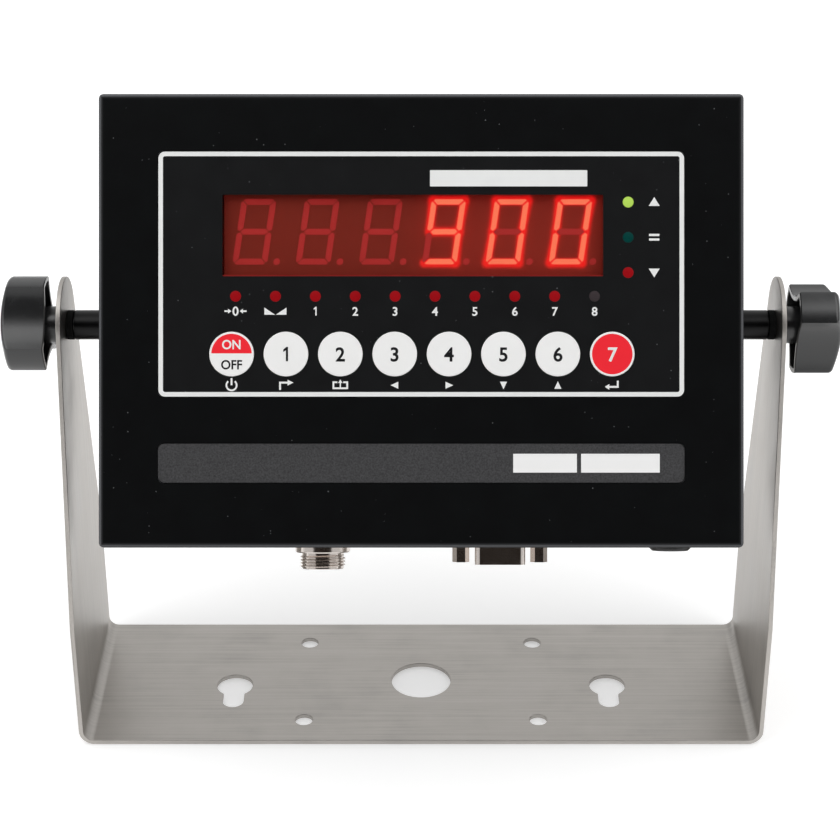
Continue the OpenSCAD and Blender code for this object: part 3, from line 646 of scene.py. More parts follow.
RUBBER = Finish("rubber", (20, 20, 20), 0.7, specular=0.2, grain=0.02)
GASKET = Finish("gasket", (14, 14, 14), 0.8, specular=0.2, grain=0.03)
NICKEL = Finish("nickel", (218, 210, 204), 0.17, metallic=1.0, mottle=0.04, grain=0.004)
SCREW_STEEL = Finish("screw_steel", (176, 176, 178), 0.28, metallic=1.0, mottle=0.05, grain=0.006)
ZINC = Finish("zinc", (168, 170, 172), 0.42, metallic=1.0, mottle=0.1, grain=0.01)
BRASS = Finish("brass", (196, 158, 84), 0.3, metallic=1.0)
DOME_STEEL = Finish("dome_steel", (190, 188, 180), 0.25, metallic=1.0)
INSULATOR = Finish("insulator", (18, 18, 19), 0.5)
INLET_PLASTIC = Finish("inlet_plastic", (15, 15, 16), 0.34, grain=0.008)
SWITCH_PLASTIC = Finish("switch_plastic", (26, 26, 28), 0.5)
CHIP = Finish("chip", (30, 30, 32), 0.55, grain=0.02)
HEADER = Finish("header", (222, 214, 190), 0.5)
WIRE = Finish("wire", (150, 26, 24), 0.4)
BATTERY_CASE = Finish("battery_case", (60, 64, 70), 0.5, grain=0.03)
BOARD_GREEN = Finish("board_green", (18, 74, 44), 0.35, mottle=0.2, mottle_size=2.0, coat=0.3)


def arc(centre: Point, radius: float, start: float, end: float, steps: int) -> Outline:
    """Returns points on an arc.

    Args:
        centre: The arc's centre.
        radius: Its radius.
        start: Angle of the first point in degrees.
        end: Angle of the last point in degrees.
        steps: Number of steps between them.

    Returns:
        The points, both ends included.
    """
    angles = [math.radians(start + (end - start) * i / steps) for i in range(steps + 1)]
    return [(centre[0] + radius * math.cos(a), centre[1] + radius * math.sin(a)) for a in angles]


def disc(centre: Point, diameter: float, steps: int = 48) -> Outline:
    """Returns a circle's outline."""
    return arc(centre, diameter / 2, 0, 360 - 360 / steps, steps - 1)


def round_rect(centre: Point, width: float, height: float, radius: float, steps: int = 6) -> Outline:
    """Returns the outline of a rectangle with round corners.

    Args:
        centre: The rectangle's centre.
        width: Its width.
        height: Its height.
        radius: Radius of its corners.
        steps: Steps of a corner.

    Returns:
        The outline, counter-clockwise.
    """
    outline: Outline = []
    for turn, (sx, sy) in enumerate(((1, 1), (-1, 1), (-1, -1), (1, -1))):
        corner = (centre[0] + sx * (width / 2 - radius), centre[1] + sy * (height / 2 - radius))
        outline += arc(corner, radius, 90 * turn, 90 * turn + 90, steps)
    return outline


def moved(outline: Outline, shift: Point) -> Outline:
    """Returns an outline moved by a shift."""
    return [(x + shift[0], y + shift[1]) for x, y in outline]


def softened(points: Outline, radius: float, closed: bool = True, steps: int = 3) -> Outline:
    """Rounds the corners of an outline or a turned piece's profile.

    Args:
        points: The corners.
        radius: The greatest radius.
        closed: Whether the last point joins the first.
        steps: Steps of a rounding.

    Returns:
        The rounded outline.
    """
    count = len(points)
    result: Outline = []
    for i, here in enumerate(points):
        if not closed and i in (0, count - 1):
            result.append(here)
            continue
        corner = Vector(here)
        back = Vector(points[i - 1]) - corner
        ahead = Vector(points[(i + 1) % count]) - corner
        half = back.angle(ahead) / 2
        reach = min(radius / max(math.tan(half), 0.01), back.length * 0.48, ahead.length * 0.48)
        start = corner + back.normalized() * reach
        end = corner + ahead.normalized() * reach
        for k in range(steps + 1):
            t = k / steps
            spot = start * (1 - t) ** 2 + corner * 2 * t * (1 - t) + end * t ** 2
            result.append((spot.x, spot.y))
    return result


def join(*parts: Mesh) -> Mesh:
    """Returns one mesh made of several, which are used up."""
    whole = bmesh.new()
    for part in parts:
        scrap = bpy.data.meshes.new("scrap")
        part.to_mesh(scrap)
        part.free()
        whole.from_mesh(scrap)
        bpy.data.meshes.remove(scrap)
    return whole


def from_curve(curve: bpy.types.Curve) -> Mesh:
    """Turns a filled curve or a text into a mesh, and deletes the curve.

    Args:
        curve: The curve or text, which is deleted.

    Returns:
        The mesh, with its points joined.
    """
    shape = bpy.data.objects.new("scrap", curve)
    bpy.context.scene.collection.objects.link(shape)
    graph = bpy.context.evaluated_depsgraph_get()
    mesh = bpy.data.meshes.new_from_object(shape.evaluated_get(graph))
    result = bmesh.new()
    result.from_mesh(mesh)
    bpy.data.objects.remove(shape)
    bpy.data.meshes.remove(mesh)
    bmesh.ops.remove_doubles(result, verts=result.verts, dist=JOIN_GAP)
    return result


def slab(outlines: Sequence[Outline], thickness: float, edge: float = 0.0) -> Mesh:
    """Makes a plate with holes, lying between z = 0 and z = thickness.

    Args:
        outlines: The outer outline and those of its holes.
        thickness: The plate's thickness.
        edge: Radius of its rounded rims.

    Returns:
        The plate.
    """
    curve = bpy.data.curves.new("scrap", "CURVE")
    curve.dimensions = "2D"
    curve.fill_mode = "BOTH"
    curve.bevel_depth = edge
    curve.bevel_resolution = 2
    curve.offset = -edge
    curve.extrude = max(thickness / 2 - edge, 0.0)
    for outline in outlines:
        spline = curve.splines.new("POLY")
        spline.points.add(len(outline) - 1)
        spline.use_cyclic_u = True
        for point, (x, y) in zip(spline.points, outline):
            point.co = (x, y, 0, 1)
    result = from_curve(curve)
    bmesh.ops.translate(result, verts=result.verts, vec=(0, 0, thickness / 2))
    return result


def facing(mesh: Mesh, y_back: float) -> Mesh:
    """Stands a plate up so that its top faces the front and its underside lies at y_back.

    Args:
        mesh: The plate, flat.
        y_back: Where its underside goes.

    Returns:
        The same mesh, stood up.
    """
    turn = Matrix.Translation((0, y_back, 0)) @ Matrix.Rotation(math.radians(90), 4, "X")
    bmesh.ops.transform(mesh, matrix=turn, verts=mesh.verts)
    return mesh


def plate(outlines: Sequence[Outline], y_front: float, y_back: float, edge: float = 0.0) -> Mesh:
    """Makes an upright plate from outlines drawn in x and z."""
    return facing(slab(outlines, y_back - y_front, edge), y_back)


def lofted(rings: Sequence[Sequence[Vector]], close_ends: bool = True) -> Mesh:
    """Joins rings of points with faces.

    Args:
        rings: Rings with the same number of points. A ring of one point is a tip.
        close_ends: Whether the first and last rings get a face.

    Returns:
        The mesh.
    """
    result = bmesh.new()
    made = [[result.verts.new(p) for p in ring] for ring in rings]
    for low, high in zip(made, made[1:]):
        count = max(len(low), len(high))
        for i in range(count):
            k = (i + 1) % count
            corners = [low[i % len(low)], low[k % len(low)], high[k % len(high)], high[i % len(high)]]
            unique = list(dict.fromkeys(corners))
            if len(unique) > 2:
                result.faces.new(unique)
    if close_ends:
        for ring in (made[0], made[-1]):
            if len(ring) > 2:
                result.faces.new(ring)
    bmesh.ops.recalc_face_normals(result, faces=result.faces)
    return result


def turned(profile: Outline, along: Along, centre: Sequence[float] = (0, 0, 0), steps: int = 48,
           closed: bool = False) -> Mesh:
    """Turns a profile round an axis.

    Args:
        profile: Radii and places along the axis.
        along: The axis.
        centre: A point on the axis.
        steps: Steps of a full turn.
        closed: Whether the last point joins the first, as on a ring.

    Returns:
        The mesh.
    """
    points = profile + profile[:1] if closed else profile
    rings = []
    for radius, height in points:
        if radius <= 0:
            rings.append([on_axis(along, 0, 0, height, centre)])
            continue
        angles = [2 * math.pi * i / steps for i in range(steps)]
        rings.append([on_axis(along, radius * math.cos(a), radius * math.sin(a), height,
                              centre) for a in angles])
    result = lofted(rings, close_ends=not closed)
    if closed:
        bmesh.ops.remove_doubles(result, verts=result.verts, dist=JOIN_GAP)
        bmesh.ops.recalc_face_normals(result, faces=result.faces)
    return result


def on_axis(along: Along, u: float, v: float, height: float, centre: Sequence[float]) -> Vector:
    """Places a point by its height along an axis and two distances across it."""
    turned_points = {Along.X: (height, u, v), Along.Y: (u, height, v), Along.Z: (u, v, height)}
    return Vector(turned_points[along]) + Vector(centre)


def lettering(text: str, centre: Point, height: float, stretch: float = 1.0) -> Mesh:
    """Writes plain letters or numbers as a thin print lying in x and y.

    Args:
        text: The letters.
        centre: The middle of the writing.
        height: Height of a capital.
        stretch: Width over the font's own width.

    Returns:
        The print, centred.
    """
    capital_share = 0.729
    curve = bpy.data.curves.new("scrap", "FONT")
    curve.body = text
    curve.align_x = "CENTER"
    curve.size = height / capital_share
    curve.extrude = PRINT_T / 2
    curve.offset = 0.028 * height
    curve.resolution_u = 4
    result = from_curve(curve)
    move = Matrix.Translation((centre[0], centre[1] - height / 2,
                               PRINT_T / 2)) @ Matrix.Diagonal((stretch, 1, 1, 1))
    bmesh.ops.transform(result, matrix=move, verts=result.verts)
    return result


PRINT_T = 0.03


def numeral(text: str, centre: Point, height: float) -> Mesh:
    """Writes a plain number, with a flag on the figure one.

    Args:
        text: The number.
        centre: Its middle.
        height: Height of a figure.

    Returns:
        The print, centred.
    """
    if text != "1":
        return lettering(text, centre, height)
    half, bar, reach = height / 2, height * 0.075, height * 0.26
    shape = [(-bar, -half), (bar, -half), (bar, half), (-bar * 0.6, half), (-reach, half * 0.62),
             (-reach, half * 0.3), (-bar, half * 0.52)]
    return slab([moved(shape, (centre[0] + bar, centre[1]))], PRINT_T)


@dataclass
class Place:
    """Where a sub-assembly is drawn, and the body that its pieces ride on.

    Attributes:
        body: The body's name.
        matrix: From the drawing's millimetres to the part's frame.
    """

    body: str
    matrix: Matrix

    def piece(self, name: str, mesh: Mesh, finish: Finish, slot: str, replaced: Iterable[str] = (),
              sharp: float = 32.0, body: str = "") -> bpy.types.Object:
        """Makes a visible piece.

        Args:
            name: The piece's name.
            mesh: Its mesh in the drawing's millimetres, which is used up.
            finish: Its finish.
            slot: The record's material slot; not used.
            replaced: The nodes that it stands for.
            sharp: Least angle in degrees between two faces that stays a sharp edge.
            body: The body it rides on, if not this place's own.

        Returns:
            The new object.
        """
        bmesh.ops.transform(mesh, matrix=self.matrix, verts=mesh.verts)
        for face in mesh.faces:
            face.smooth = True
        for edge in mesh.edges:
            edge.smooth = len(edge.link_faces) == 2 and edge.calc_face_angle(0.0) < math.radians(sharp)
        data = bpy.data.meshes.new(name)
        mesh.to_mesh(data)
        mesh.free()
        data.materials.append(finish.material())
        made = bpy.data.objects.new(name, data)
        bpy.context.scene.collection.objects.link(made)
        made.modifiers.new("even_shading", "WEIGHTED_NORMAL").keep_sharp = True
        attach(made, body or self.body)
        if replaced:
            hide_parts(*replaced)
        LOG.info("made %s with %d faces", name, len(data.polygons))
        return made


class Head(Place):
    """The tilted head's own frame, taken from the joints, with the boxes of its nodes."""

    def __init__(self) -> None:
        """Reads the pivot from the tilt joint and the tilt from a key's direction of travel."""
        joints = {joint["name"]: joint for joint in frame["joints"]}
        self.pivot = Vector(joints["head_tilt"]["pos_m"])
        inward = Vector(joints["key_1_press"]["axis"])
        self.tilt = math.atan2(-inward.z, inward.y)
        turn = Matrix.Rotation(-self.tilt, 4, "X")
        super().__init__("head", Matrix.Translation(self.pivot) @ turn @ Matrix.Scale(MM, 4))

    def box(self, node: str) -> tuple[Vector, Vector]:
        """Measures a node in the head's own millimetres.

        Args:
            node: The node's name.

        Returns:
            Its lowest and highest corners.
        """
        inverse = self.matrix.inverted()
        spots = [inverse @ vertex.co for vertex in frame["nodes"][node].data.vertices]
        low = Vector([min(spot[i] for spot in spots) for i in range(3)])
        high = Vector([max(spot[i] for spot in spots) for i in range(3)])
        return low, high

    def middle(self, node: str) -> Vector:
        """Returns the middle of a node's box."""
        low, high = self.box(node)
        return (low + high) / 2


@dataclass
class Bracket:
    """The stand: one brushed sheet, cut flat, drilled and bent up at both ends.

    Attributes:
        place: Where it is drawn.
        sheet: Thickness of the sheet.
        bend: Inside radius of the bends.
        rim: Radius of the deburred edges.
        straight: Height above the base at which an arm begins to narrow.
        end_r: Radius of an arm's round end.
        cable_hole: Diameter of the cable hole.
        screw_hole: Diameter of the screw holes.
        screw_dx: Distance between the screw holes along x.
        screw_dy: Distance between the screw holes along y.
        keyhole_dx: Distance between the keyholes.
        keyhole_d: Diameter of a keyhole's round end.
        slot_w: Width of a keyhole's slot.
        keyhole_reach: From the round end's centre to the slot's far end.
        keyhole_offset: How far in front of the middle the round ends lie.
        pivot_hole: Diameter of the hole for the stud.
        bend_steps: Steps of a bend.
    """

    place: Place
    sheet: float = 1.5
    bend: float = 3.5
    rim: float = 0.22
    straight: float = 44.0
    end_r: float = 15.5
    cable_hole: float = 20.6
    screw_hole: float = 6.0
    screw_dx: float = 80.0
    screw_dy: float = 47.0
    keyhole_dx: float = 130.0
    keyhole_d: float = 12.4
    slot_w: float = 7.2
    keyhole_reach: float = 13.0
    keyhole_offset: float = 3.0
    pivot_hole: float = 6.16
    bend_steps: int = 8

    def build(self, pivot_height: float) -> None:
        """Makes the bent sheet.

        Args:
            pivot_height: Height of the pivot above the underside.
        """
        low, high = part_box("bracket")
        self.half_width = high.x / MM
        self.depth = (high.y - low.y) / MM
        self.flat_half = self.half_width - self.sheet - self.bend
        self.bend_length = math.pi / 2 * (self.bend + self.sheet / 2)
        self.corner_height = self.sheet + self.bend
        self.pivot_u = self.flat_half + self.bend_length + pivot_height - self.corner_height
        mesh = slab([self.outline()] + self.holes(), self.sheet, self.rim)
        for sign in (-1, 1):
            for i in range(self.bend_steps + 1):
                cut = sign * (self.flat_half + self.bend_length * i / self.bend_steps)
                everything = mesh.verts[:] + mesh.edges[:] + mesh.faces[:]
                bmesh.ops.bisect_plane(mesh, geom=everything, plane_co=(cut, 0, 0), plane_no=(1, 0, 0),
                                       dist=0.001)
        bmesh.ops.triangulate(mesh, faces=[f for f in mesh.faces if len(f.verts) > 4])
        layer = mesh.verts.layers.float_vector.new(FLAT_PLACE)
        for vertex in mesh.verts:
            vertex[layer] = vertex.co
            vertex.co = self.bent(vertex.co)
        self.place.piece("bracket_sheet", mesh, STEEL, "stainless", ["bracket"], sharp=50)

    def outline(self) -> Outline:
        """Returns the outline of the flat blank, counter-clockwise."""
        shoulder = self.flat_half + self.bend_length + self.sheet + self.straight - self.corner_height
        half = self.depth / 2
        drop = self.pivot_u - shoulder
        touch = math.degrees(math.acos(self.end_r / math.hypot(drop, half)) - math.atan2(drop, half))
        tip = arc((self.pivot_u, 0), self.end_r, touch - 90, 90 - touch, STEPS)
        right = [(shoulder, -half)] + tip + [(shoulder, half)]
        return right + [(-u, -v) for u, v in right]

    def holes(self) -> list[Outline]:
        """Returns the outlines of all holes in the blank."""
        found = [disc((0, 0), self.cable_hole, FINE_STEPS)]
        for sx in (-1, 1):
            for sy in (-1, 1):
                spot = (sx * self.screw_dx / 2, sy * self.screw_dy / 2)
                found.append(disc(spot, self.screw_hole, STEPS))
            found.append(disc((sx * self.pivot_u, 0), self.pivot_hole, STEPS))
            found.append(self.keyhole(sx * self.keyhole_dx / 2))
        return found

    def keyhole(self, u: float) -> Outline:
        """Returns the outline of a keyhole.

        Args:
            u: Place of the round end along the base.

        Returns:
            The outline.
        """
        slot_r = self.slot_w / 2
        half_angle = math.degrees(math.asin(self.slot_w / self.keyhole_d))
        head = arc((u, -self.keyhole_offset), self.keyhole_d / 2, half_angle - 90, 270 - half_angle, 40)
        foot = arc((u, -self.keyhole_offset - self.keyhole_reach + slot_r), slot_r, 180, 360, 14)
        return head + foot

    def bent(self, flat: Vector) -> Vector:
        """Moves a point of the blank to its place on the bent sheet.

        Args:
            flat: Place along the sheet, across it, and through its thickness.

        Returns:
            The point in the part's millimetres.
        """
        u, v, w = flat
        sign = math.copysign(1, u)
        past = abs(u) - self.flat_half
        if past <= 0:
            return Vector((u, v, w))
        reach = self.corner_height - w
        if past >= self.bend_length:
            return Vector((sign * (self.flat_half + reach), v, self.corner_height + past - self.bend_length))
        angle = past / self.bend_length * math.pi / 2
        x = self.flat_half + reach * math.sin(angle)
        return Vector((sign * x, v, self.corner_height - reach * math.cos(angle)))


@dataclass
class Case:
    """The painted box: a front case and a rear cover on a gasket, held by six screws.

    Attributes:
        head: The head's frame.
        rim: Radius of the edges that are left sharp by the mould.
        screw_head_d: Diameter of a cover screw's head.
        screw_head_t: Height of that head.
        cross_w: Length of the cross drive's arms, tip to tip.
        cross_t: Width of those arms.
        cross_depth: Depth of the drive.
        shank_r: Radius of a screw's core.
        thread_r: Radius of its thread.
        pitch: The thread's pitch.
        steps: Steps round a screw.
        edge: Height of the round edge of its head.
    """

    head: Head
    rim: float = 0.18
    screw_head_d: float = 5.6
    screw_head_t: float = 1.8
    cross_w: float = 3.2
    cross_t: float = 0.8
    cross_depth: float = 1.0
    shank_r: float = 1.25
    thread_r: float = 1.5
    pitch: float = 0.7
    steps: int = 40
    edge: float = 0.35

    def build(self) -> None:
        """Dresses the two shells and the gasket, and makes the screws' heads."""
        for node, finish in (("front_case", CASE_PAINT), ("rear_cover", CASE_PAINT),
                             ("cover_gasket", GASKET)):
            dress(node, finish)
        for node in ("front_case", "rear_cover"):
            soften_node(node, self.rim)
        self.screws()

    def screws(self) -> None:
        """Makes the six pan head screws with their cross drives."""
        low, high = self.head.box("cover_screws")
        middle = (low + high) / 2
        reach_x = (high.x - low.x - self.screw_head_d) / 2
        reach_z = (high.z - low.z - self.screw_head_d) / 2
        parts = []
        for sx in (-1, 0, 1):
            for sz in (-1, 1):
                centre = (middle.x + sx * reach_x, 0, middle.z + sz * reach_z)
                parts.append(self.screw(centre, low.y, high.y))
        self.head.piece("cover_screw_set", join(*parts), SCREW_STEEL, "screw_steel", ["cover_screws"])

    def screw(self, centre: Sequence[float], y_tip: float, y_top: float) -> Mesh:
        """Makes one screw whose head faces the rear.

        Args:
            centre: A point on its axis.
            y_tip: Place of its tip.
            y_top: Place of its head's top.

        Returns:
            The screw.
        """
        head_r = self.screw_head_d / 2
        shank_r, thread_r, pitch = self.shank_r, self.thread_r, self.pitch
        seat = y_top - self.screw_head_t
        profile = [(0, y_tip), (shank_r, y_tip + 0.4)]
        turns = int((seat - 3 - y_tip) / pitch)
        for i in range(turns):
            profile += [(shank_r, y_tip + 0.5 + i * pitch), (thread_r, y_tip + 0.5 + (i + 0.5) * pitch)]
        profile += [(thread_r, seat), (head_r, seat), (head_r, seat + 0.6), (head_r * 0.8, y_top - self.edge)]
        rim = turned(profile, Along.Y, centre, self.steps)
        bmesh.ops.delete(rim, geom=[f for f in rim.faces if len(f.verts) > 8], context="FACES_ONLY")
        top = slab([disc((0, 0), head_r * 1.6, self.steps), self.cross()], self.edge, 0.0)
        floor = slab([self.cross()], 0.1, 0.0)
        rearward = Matrix.Rotation(math.radians(-90), 4, "X")
        place = Matrix.Translation((centre[0], y_top - self.edge, centre[2])) @ rearward
        sunk = Matrix.Translation((0, -self.cross_depth, 0)) @ place
        bmesh.ops.transform(top, matrix=place, verts=top.verts)
        bmesh.ops.transform(floor, matrix=sunk, verts=floor.verts)
        return join(rim, top, floor)

    def cross(self) -> Outline:
        """Returns the outline of a cross drive."""
        long, short = self.cross_w / 2, self.cross_t / 2
        quarter = [(long, -short), (long, short), (short, short)]
        outline: Outline = []
        for turn in range(4):
            c, s = round(math.cos(turn * math.pi / 2)), round(math.sin(turn * math.pi / 2))
            outline += [(x * c - y * s, x * s + y * c) for x, y in quarter]
        return outline


def dress(node: str, finish: Finish) -> None:
    """Gives a CAD node its finish.

    Args:
        node: The node's name.
        finish: Its finish.
    """
    data = frame["nodes"][node].data
    if not data.materials:
        data.materials.append(None)
    for i in range(len(data.materials)):
        data.materials[i] = finish.material()


def soften_node(node: str, radius: float) -> None:
    """Rounds a CAD node's sharp edges without touching its mesh.

    Args:
        node: The node's name.
        radius: The rounding in millimetres.
    """
    weld = frame["nodes"][node].modifiers.new("weld", "WELD")
    weld.merge_threshold = WELD_GAP
    bevel = frame["nodes"][node].modifiers.new("soften", "BEVEL")
    bevel.width = radius * MM
    bevel.segments = SOFT_STEPS
    bevel.limit_method = "ANGLE"
    bevel.angle_limit = math.radians(SOFT_ANGLE)
    bevel.harden_normals = False
    even = frame["nodes"][node].modifiers.new("even_shading", "WEIGHTED_NORMAL")
    even.keep_sharp = True


@dataclass
class Keypad:
    """The keypad film with its printed border, title bar, legends and symbols.

    Attributes:
        head: The head's frame.
        border: Width of the border line.
        border_inset: Distance from the film's edge to the border line.
        corner_r: Radius of the film's corners.
        title: Width and height of the bare title bar.
        title_at: Its middle.
        legend_z: Height of the row of legends under the lamps.
        legend_h: Height of a legend.
        symbol_z: Height of the row of symbols under the keys.
        side_legend_dx: Distance from a limit lamp to its legend.
        edge: Radius of the edge round its face.
    """

    head: Head
    border: float = 1.4
    border_inset: float = 0.1
    corner_r: float = 2.0
    title: Point = (48.4, 5.0)
    title_at: Point = (26.9, 43.8)
    legend_z: float = 2.9
    legend_h: float = 2.7
    symbol_z: float = -19.9
    side_legend_dx: float = 8.0
    edge: float = 0.08

    def build(self, window: "Display", lamps: "Lamps", keys: "Keys") -> None:
        """Makes the film and its prints.

        Args:
            window: The display, which gives the window's outline.
            lamps: The lamps, which show through holes in the print.
            keys: The keys, which stand in holes in the film.
        """
        low, high = self.head.box("keypad_film")
        self.front = low.y
        size = (high.x - low.x, high.z - low.z)
        centre = ((high.x + low.x) / 2, (high.z + low.z) / 2)
        outline = round_rect(centre, *size, self.corner_r)
        holes = [window.opening()] + lamps.openings() + keys.openings()
        film = plate([outline] + holes, low.y, high.y, self.edge)
        self.head.piece("film_sheet", film, FILM_BLACK, "film", ["keypad_film"])
        title = round_rect(self.title_at, *self.title, 0.2)
        prints = [self.border_line(centre, size), slab([title], PRINT_T)]
        prints += self.lamp_legends(lamps) + self.key_symbols(keys) + self.limit_legends(lamps)
        inked = facing(join(*prints), self.front)
        self.head.piece("film_print", inked, INK_WHITE, "film")

    def border_line(self, centre: Point, size: Point) -> Mesh:
        """Makes the white line round the film.

        Args:
            centre: The film's middle.
            size: The film's width and height.

        Returns:
            The line, flat.
        """
        outer = [side - 2 * self.border_inset for side in size]
        inner = [side - 2 * self.border for side in outer]
        lines = [round_rect(centre, *outer, self.corner_r), round_rect(centre, *inner, self.corner_r / 3)]
        return slab(lines, PRINT_T)

    def lamp_legends(self, lamps: "Lamps") -> list[Mesh]:
        """Makes the zero sign, the balance sign and plain numbers under the status lamps.

        Args:
            lamps: The lamps that the signs stand under.

        Returns:
            The prints, flat.
        """
        places = [(x, self.legend_z) for x, _ in lamps.status_places()]
        prints = printed(zero_sign(), places[0]) + printed(balance_sign(), places[1])
        return prints + [numeral(str(i), place, self.legend_h) for i, place in enumerate(places[2:], 1)]

    def key_symbols(self, keys: "Keys") -> list[Mesh]:
        """Makes the symbol under each key, from the left.

        Args:
            keys: The keys that the symbols stand under.

        Returns:
            The prints, flat.
        """
        prints: list[Mesh] = []
        for sign, (x, _) in zip(key_signs(), keys.places()):
            prints += printed(sign, (x, self.symbol_z))
        return prints

    def limit_legends(self, lamps: "Lamps") -> list[Mesh]:
        """Makes the signs for above, within and below next to the limit lamps.

        Args:
            lamps: The lamps that the signs stand beside.

        Returns:
            The prints, flat.
        """
        prints: list[Mesh] = []
        for sign, (x, z) in zip(limit_signs(), lamps.limit_places()):
            prints += printed(sign, (x + self.side_legend_dx, z))
        return prints


Sign = list[list[Outline]]
"""The prints of a sign, round the origin in millimetres. A print is an outline and its holes."""


def printed(sign: Sign, place: Point) -> list[Mesh]:
    """Makes the flat prints of a sign.

    Args:
        sign: The sign.
        place: Its middle.

    Returns:
        The prints.
    """
    return [slab([moved(outline, place) for outline in outlines], PRINT_T) for outlines in sign]


def zero_sign() -> Sign:
    """Returns a nought between two arrows that point at it."""
    sign = [[oval((0, 0), 1.9, 2.9), oval((0, 0), 0.8, 1.9)]]
    for s in (-1, 1):
        tip, barb, tail = s * 1.3, s * 2.3, s * 3.4
        sign.append([[(tip, 0), (barb, 0.75), (barb, 0.25), (tail, 0.25), (tail, -0.25), (barb, -0.25),
                      (barb, -0.75)]])
    return sign


def balance_sign() -> Sign:
    """Returns two wedges that face each other, the sign for a steady load."""
    return [[[(s * 0.1, -1.1), (s * 3.4, -1.1), (s * 3.4, 1.1)]] for s in (-1, 1)]


def triangle(tip: float, back: float, half: float, angle: float) -> Outline:
    """Returns a triangle round the origin.

    Args:
        tip: Distance of its tip from the origin.
        back: Distance of its back.
        half: Half the length of its back.
        angle: Where it points, in degrees from the right.

    Returns:
        The outline.
    """
    c, s = math.cos(math.radians(angle)), math.sin(math.radians(angle))
    return [(u * c - v * s, u * s + v * c) for u, v in ((tip, 0.0), (-back, half), (-back, -half))]


def key_signs() -> list[Sign]:
    """Returns the signs under the keys from the left: power, turn, store, four wedges and enter."""
    ring = arc((0, 0), 1.85, 130, 410, 24) + arc((0, 0), 1.3, 410, 130, 24)
    stroke = round_rect((0, 1.1), 0.6, 2.2, 0.1)
    turn = [(-2.1, -1.4), (-1.5, -1.4), (-1.5, 0.5), (0.5, 0.5), (0.5, -0.1), (2.3, 0.8), (0.5, 1.7),
            (0.5, 1.1), (-2.1, 1.1)]
    box = [(-2.4, -1.2), (2.4, -1.2), (2.4, 1.2), (0.9, 1.2), (0.9, 0.65), (1.85, 0.65), (1.85, -0.65),
           (-1.85, -0.65), (-1.85, 0.65), (-0.9, 0.65), (-0.9, 1.2), (-2.4, 1.2)]
    rise = [(-0.2, -0.65), (0.2, -0.65), (0.2, 0.7), (0.7, 0.7), (0, 1.8), (-0.7, 0.7), (-0.2, 0.7)]
    enter = [(-2.3, -0.5), (-0.9, -1.4), (-0.9, -0.8), (2.0, -0.8), (2.0, 1.4), (1.4, 1.4), (1.4, -0.2),
             (-0.9, -0.2), (-0.9, 0.4)]
    wedges = [[[triangle(1.25, 1.1, 1.1, angle)]] for angle in (180, 0, 270, 90)]
    return [[[ring], [stroke]], [[turn]], [[box], [rise]], *wedges, [[enter]]]


def limit_signs() -> list[Sign]:
    """Returns the signs beside the limit lamps from the top: above, within and below."""
    high, low = ([[triangle(1.5, 1.2, 1.7, angle)]] for angle in (90, 270))
    return [high, [[round_rect((0, s * 0.7), 3.2, 0.7, 0.1)] for s in (-1, 1)], low]


def oval(centre: Point, width: float, height: float, steps: int = 28) -> Outline:
    """Returns the outline of an upright oval."""
    angles = [2 * math.pi * i / steps for i in range(steps)]
    return [(centre[0] + width / 2 * math.cos(a), centre[1] + height / 2 * math.sin(a)) for a in angles]


